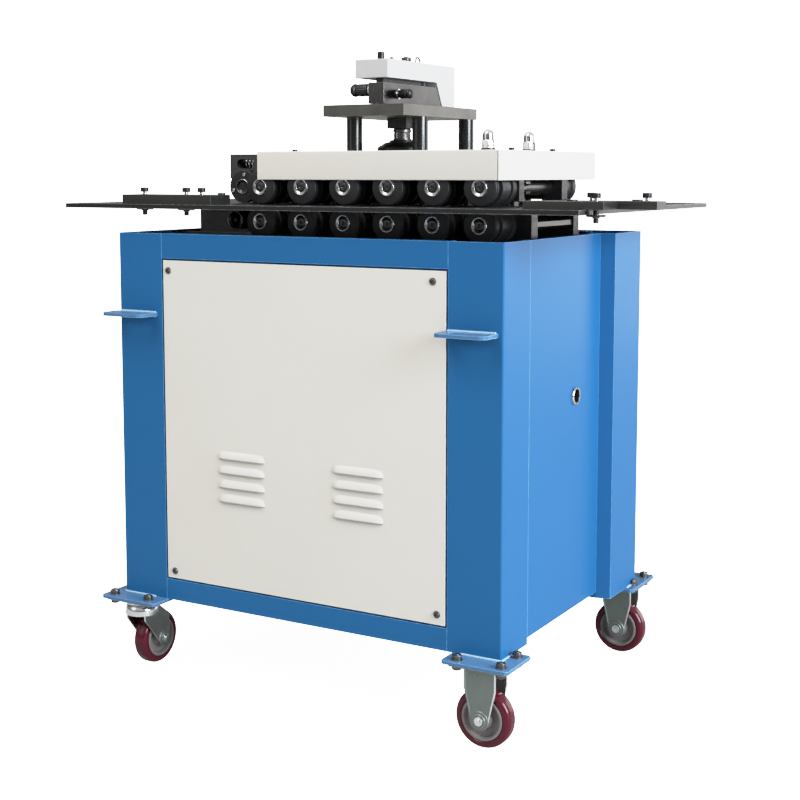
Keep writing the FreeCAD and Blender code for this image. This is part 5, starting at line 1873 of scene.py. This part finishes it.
    def handle(self, centre: Point, reach: float, length: float, sign: float) -> Shape:
        """Turned handle along x: a neck, a knurled barrel with eighteen flutes, and a domed end.

        Args:
            centre: middle of its seat.
            reach: its widest radius.
            length: its length.
            sign: -1 where it points to the left.

        Returns:
            The closed surface.
        """
        knurl = fluted(reach * 0.93, 0.03, 18)
        rows = [(reach * 0.72, 0), (reach * 0.72, length * 0.12), (reach * 0.9, length * 0.16),
                (knurl, length * 0.20), (knurl, length * 0.62), (reach * 0.8, length * 0.66),
                (reach * 0.8, length * 0.70), (reach * 0.97, length * 0.74)]
        turn = np.linspace(0.1, np.pi / 2, 7)[:-1]
        rows += [(reach * math.cos(a * 0.98), length * (0.78 + 0.22 * math.sin(a))) for a in turn]
        rows.append((reach * 0.04, length))
        return spun(rows, centre, Axis.X, 72, sign=sign)

    def dish(self) -> None:
        """Spindle: a conical dish, a neck, and the slotted coupling under the bearing block."""
        centre = (*self.spindle, 0)
        cone = [(20, 972), (43.5, 972), (45, 973.5), (45, 977.0), (43, 979.5), (36, 983.0), (33, 985.5),
                (26, 987.5), (23, 988.0), (22, 991.0), (16, 991.6), (15, 992)]
        slots = slotted(15.6, 2.4, 6, 0.28)
        coupling = [(14.0, 991.5), (16.4, 992), (16.4, 994), (13.6, 994.6), (slots, 995), (slots, 1004),
                    (13.4, 1004.6), (16.4, 1005.2), (16.4, 1009.6), (15.4, 1010.4), (15.0, 1011.9)]
        draft = Draft().add(spun(cone, centre, Axis.Z, 72))
        draft.add(spun(coupling, centre, Axis.Z, 96), mark=1)
        piece("spindle_dish", draft, [Coat.BLACK, Coat.GEAR], "flanging_spindle", ["flanging_spindle"],
              edge=0.4)

    def build(self) -> None:
        """Make the whole flanging head."""
        self.stand()
        self.arm()
        self.fasteners()
        self.lever()
        self.dish()


class Lamp(NamedTuple):
    """Square soft light: its places are in metres, its power in watts."""

    name: str
    place: Point
    target: Point
    size: float
    power: float
    colour: Colour = (1, 1, 1)


@dataclass
class Studio:
    """Pale floor, soft lights and the camera at the photograph's angle."""

    camera_at: Point = (1370.4, -2287.4, 932.5)
    turn: float = 30.0
    tilt: float = 5.92
    lens: float = 63.9
    sensor: float = 36
    shift: float = -0.1
    floor_reach: float = 60000
    floor_tone: float = 0.42
    floor_glow: float = 2.7
    horizon: float = 0.12
    zenith: float = 1.1
    zenith_rise: float = 0.9
    backdrop: float = 4.0
    brightest: float = 3.0
    tones: tuple[tuple[float, float], ...] = ((0.3, 0.3), (0.6, 0.6), (0.9, 0.80), (1.3, 0.88), (2.0, 0.93))
    lamps: tuple[Lamp, ...] = (
        Lamp("key_right", (4.5, -0.9, 2.1), (0.3, 0.0, 0.6), 2.6, 470, (0.93, 1.0, 1.08)),
        Lamp("fill_front", (-2.5, -4.3, 2.05), (0.0, 0.0, 0.6), 2.4, 20),
        Lamp("top_front", (-0.8, -2.8, 4.4), (0.0, -0.2, 0.5), 2.4, 150),
        Lamp("panel_back", (2.9, 5.0, 1.1), (0.2, 0.0, 0.8), 2.6, 70))

    def floor(self) -> None:
        """A wide pale floor that fades into the background, and glows for the camera only."""
        far = self.floor_reach
        sheet = np.array([(-far, -far, 0), (far, -far, 0), (far, far, 0), (-far, far, 0)], float)
        mesh = Draft().add(Shape(sheet, [np.array([[0, 1, 2, 3]])])).mesh("studio_floor")
        thing = bpy.data.objects.new("studio_floor", mesh)
        bpy.context.scene.collection.objects.link(thing)
        material, w, shader = surface("floor_pale")
        lit(w, shader, (self.floor_tone,) * 3, clouds(w, 0.6, 0.01), None, (1, 1, 1))
        shader.inputs["Roughness"].default_value = 0.8
        shader.inputs["Specular IOR Level"].default_value = 0.1
        shader.inputs["Emission Color"].default_value = (1, 1, 1, 1)
        seen = w.add("ShaderNodeLightPath").outputs["Is Camera Ray"]
        glow = w.add("ShaderNodeMath", {"0": seen, "1": self.floor_glow}, operation="MULTIPLY").outputs[0]
        w.tree.links.new(glow, shader.inputs["Emission Strength"])
        mesh.materials.append(material)

    def light(self, lamp: Lamp) -> None:
        """Hang one light, turned to its target.

        Args:
            lamp: the light's place, size and power.
        """
        data = bpy.data.lights.new(lamp.name, "AREA")
        data.size = lamp.size
        data.energy = lamp.power
        data.color = lamp.colour
        thing = bpy.data.objects.new(lamp.name, data)
        thing.location = lamp.place
        aim = Vector(lamp.target) - Vector(lamp.place)
        thing.rotation_euler = aim.to_track_quat("-Z", "Y").to_euler()
        bpy.context.scene.collection.objects.link(thing)

    def sky(self) -> None:
        """White background for the camera, and for all else a sky that brightens from the horizon up."""
        world = bpy.data.worlds.new("studio")
        world.use_nodes = True
        w = Wiring(world.node_tree)
        backdrop = world.node_tree.nodes["Background"]
        path = w.add("ShaderNodeLightPath").outputs["Is Camera Ray"]
        way = w.add("ShaderNodeTexCoord").outputs["Generated"]
        rise = w.add("ShaderNodeSeparateXYZ", {"Vector": way}).outputs["Z"]
        glow = w.add("ShaderNodeMapRange", {"Value": rise, "From Min": 0.0, "From Max": self.zenith_rise,
                                            "To Min": self.horizon, "To Max": self.zenith}).outputs[0]
        strength = w.add("ShaderNodeMapRange", {"Value": path, "To Min": glow,
                                                "To Max": self.backdrop}).outputs[0]
        world.node_tree.links.new(strength, backdrop.inputs["Strength"])
        backdrop.inputs["Color"].default_value = (1, 1, 1, 1)
        bpy.context.scene.world = world

    def camera(self) -> None:
        """Camera at the photograph's place, turned about the vertical and tilted down."""
        data = bpy.data.cameras.new("photo_camera")
        data.lens = self.lens
        data.sensor_width = self.sensor
        data.shift_y = self.shift
        thing = bpy.data.objects.new("photo_camera", data)
        thing.location = np.array(self.camera_at) * MM + MIDDLE
        thing.rotation_euler = (math.radians(90 - self.tilt), 0, math.radians(self.turn))
        bpy.context.scene.collection.objects.link(thing)
        bpy.context.scene.camera = thing

    def build(self) -> None:
        """Set the floor, the lights, the background and the camera."""
        self.floor()
        for lamp in self.lamps:
            self.light(lamp)
        self.sky()
        self.camera()
        self.develop()

    def develop(self) -> None:
        """Roll the brightest tones off softly, as the photograph does, instead of clipping them."""
        view = bpy.context.scene.view_settings
        view.view_transform = "Standard"
        view.use_curve_mapping = True
        mapping = view.curve_mapping
        mapping.white_level = (self.brightest,) * 3
        for light, shown in self.tones:
            mapping.curves[3].points.new(light / self.brightest, shown)
        mapping.update()


def main() -> None:
    """Build each sub-assembly in order."""
    logging.basicConfig(level=logging.INFO, format="%(name)s: %(message)s")
    parts = (Cabinet(), Casters(), RollHead(), ChainDrive(), TopCover(), Table(), FlangingHead(), Studio())
    for part in parts:
        log.info("building the %s", type(part).__name__)
        part.build()


if __name__ == "__main__":
    main()
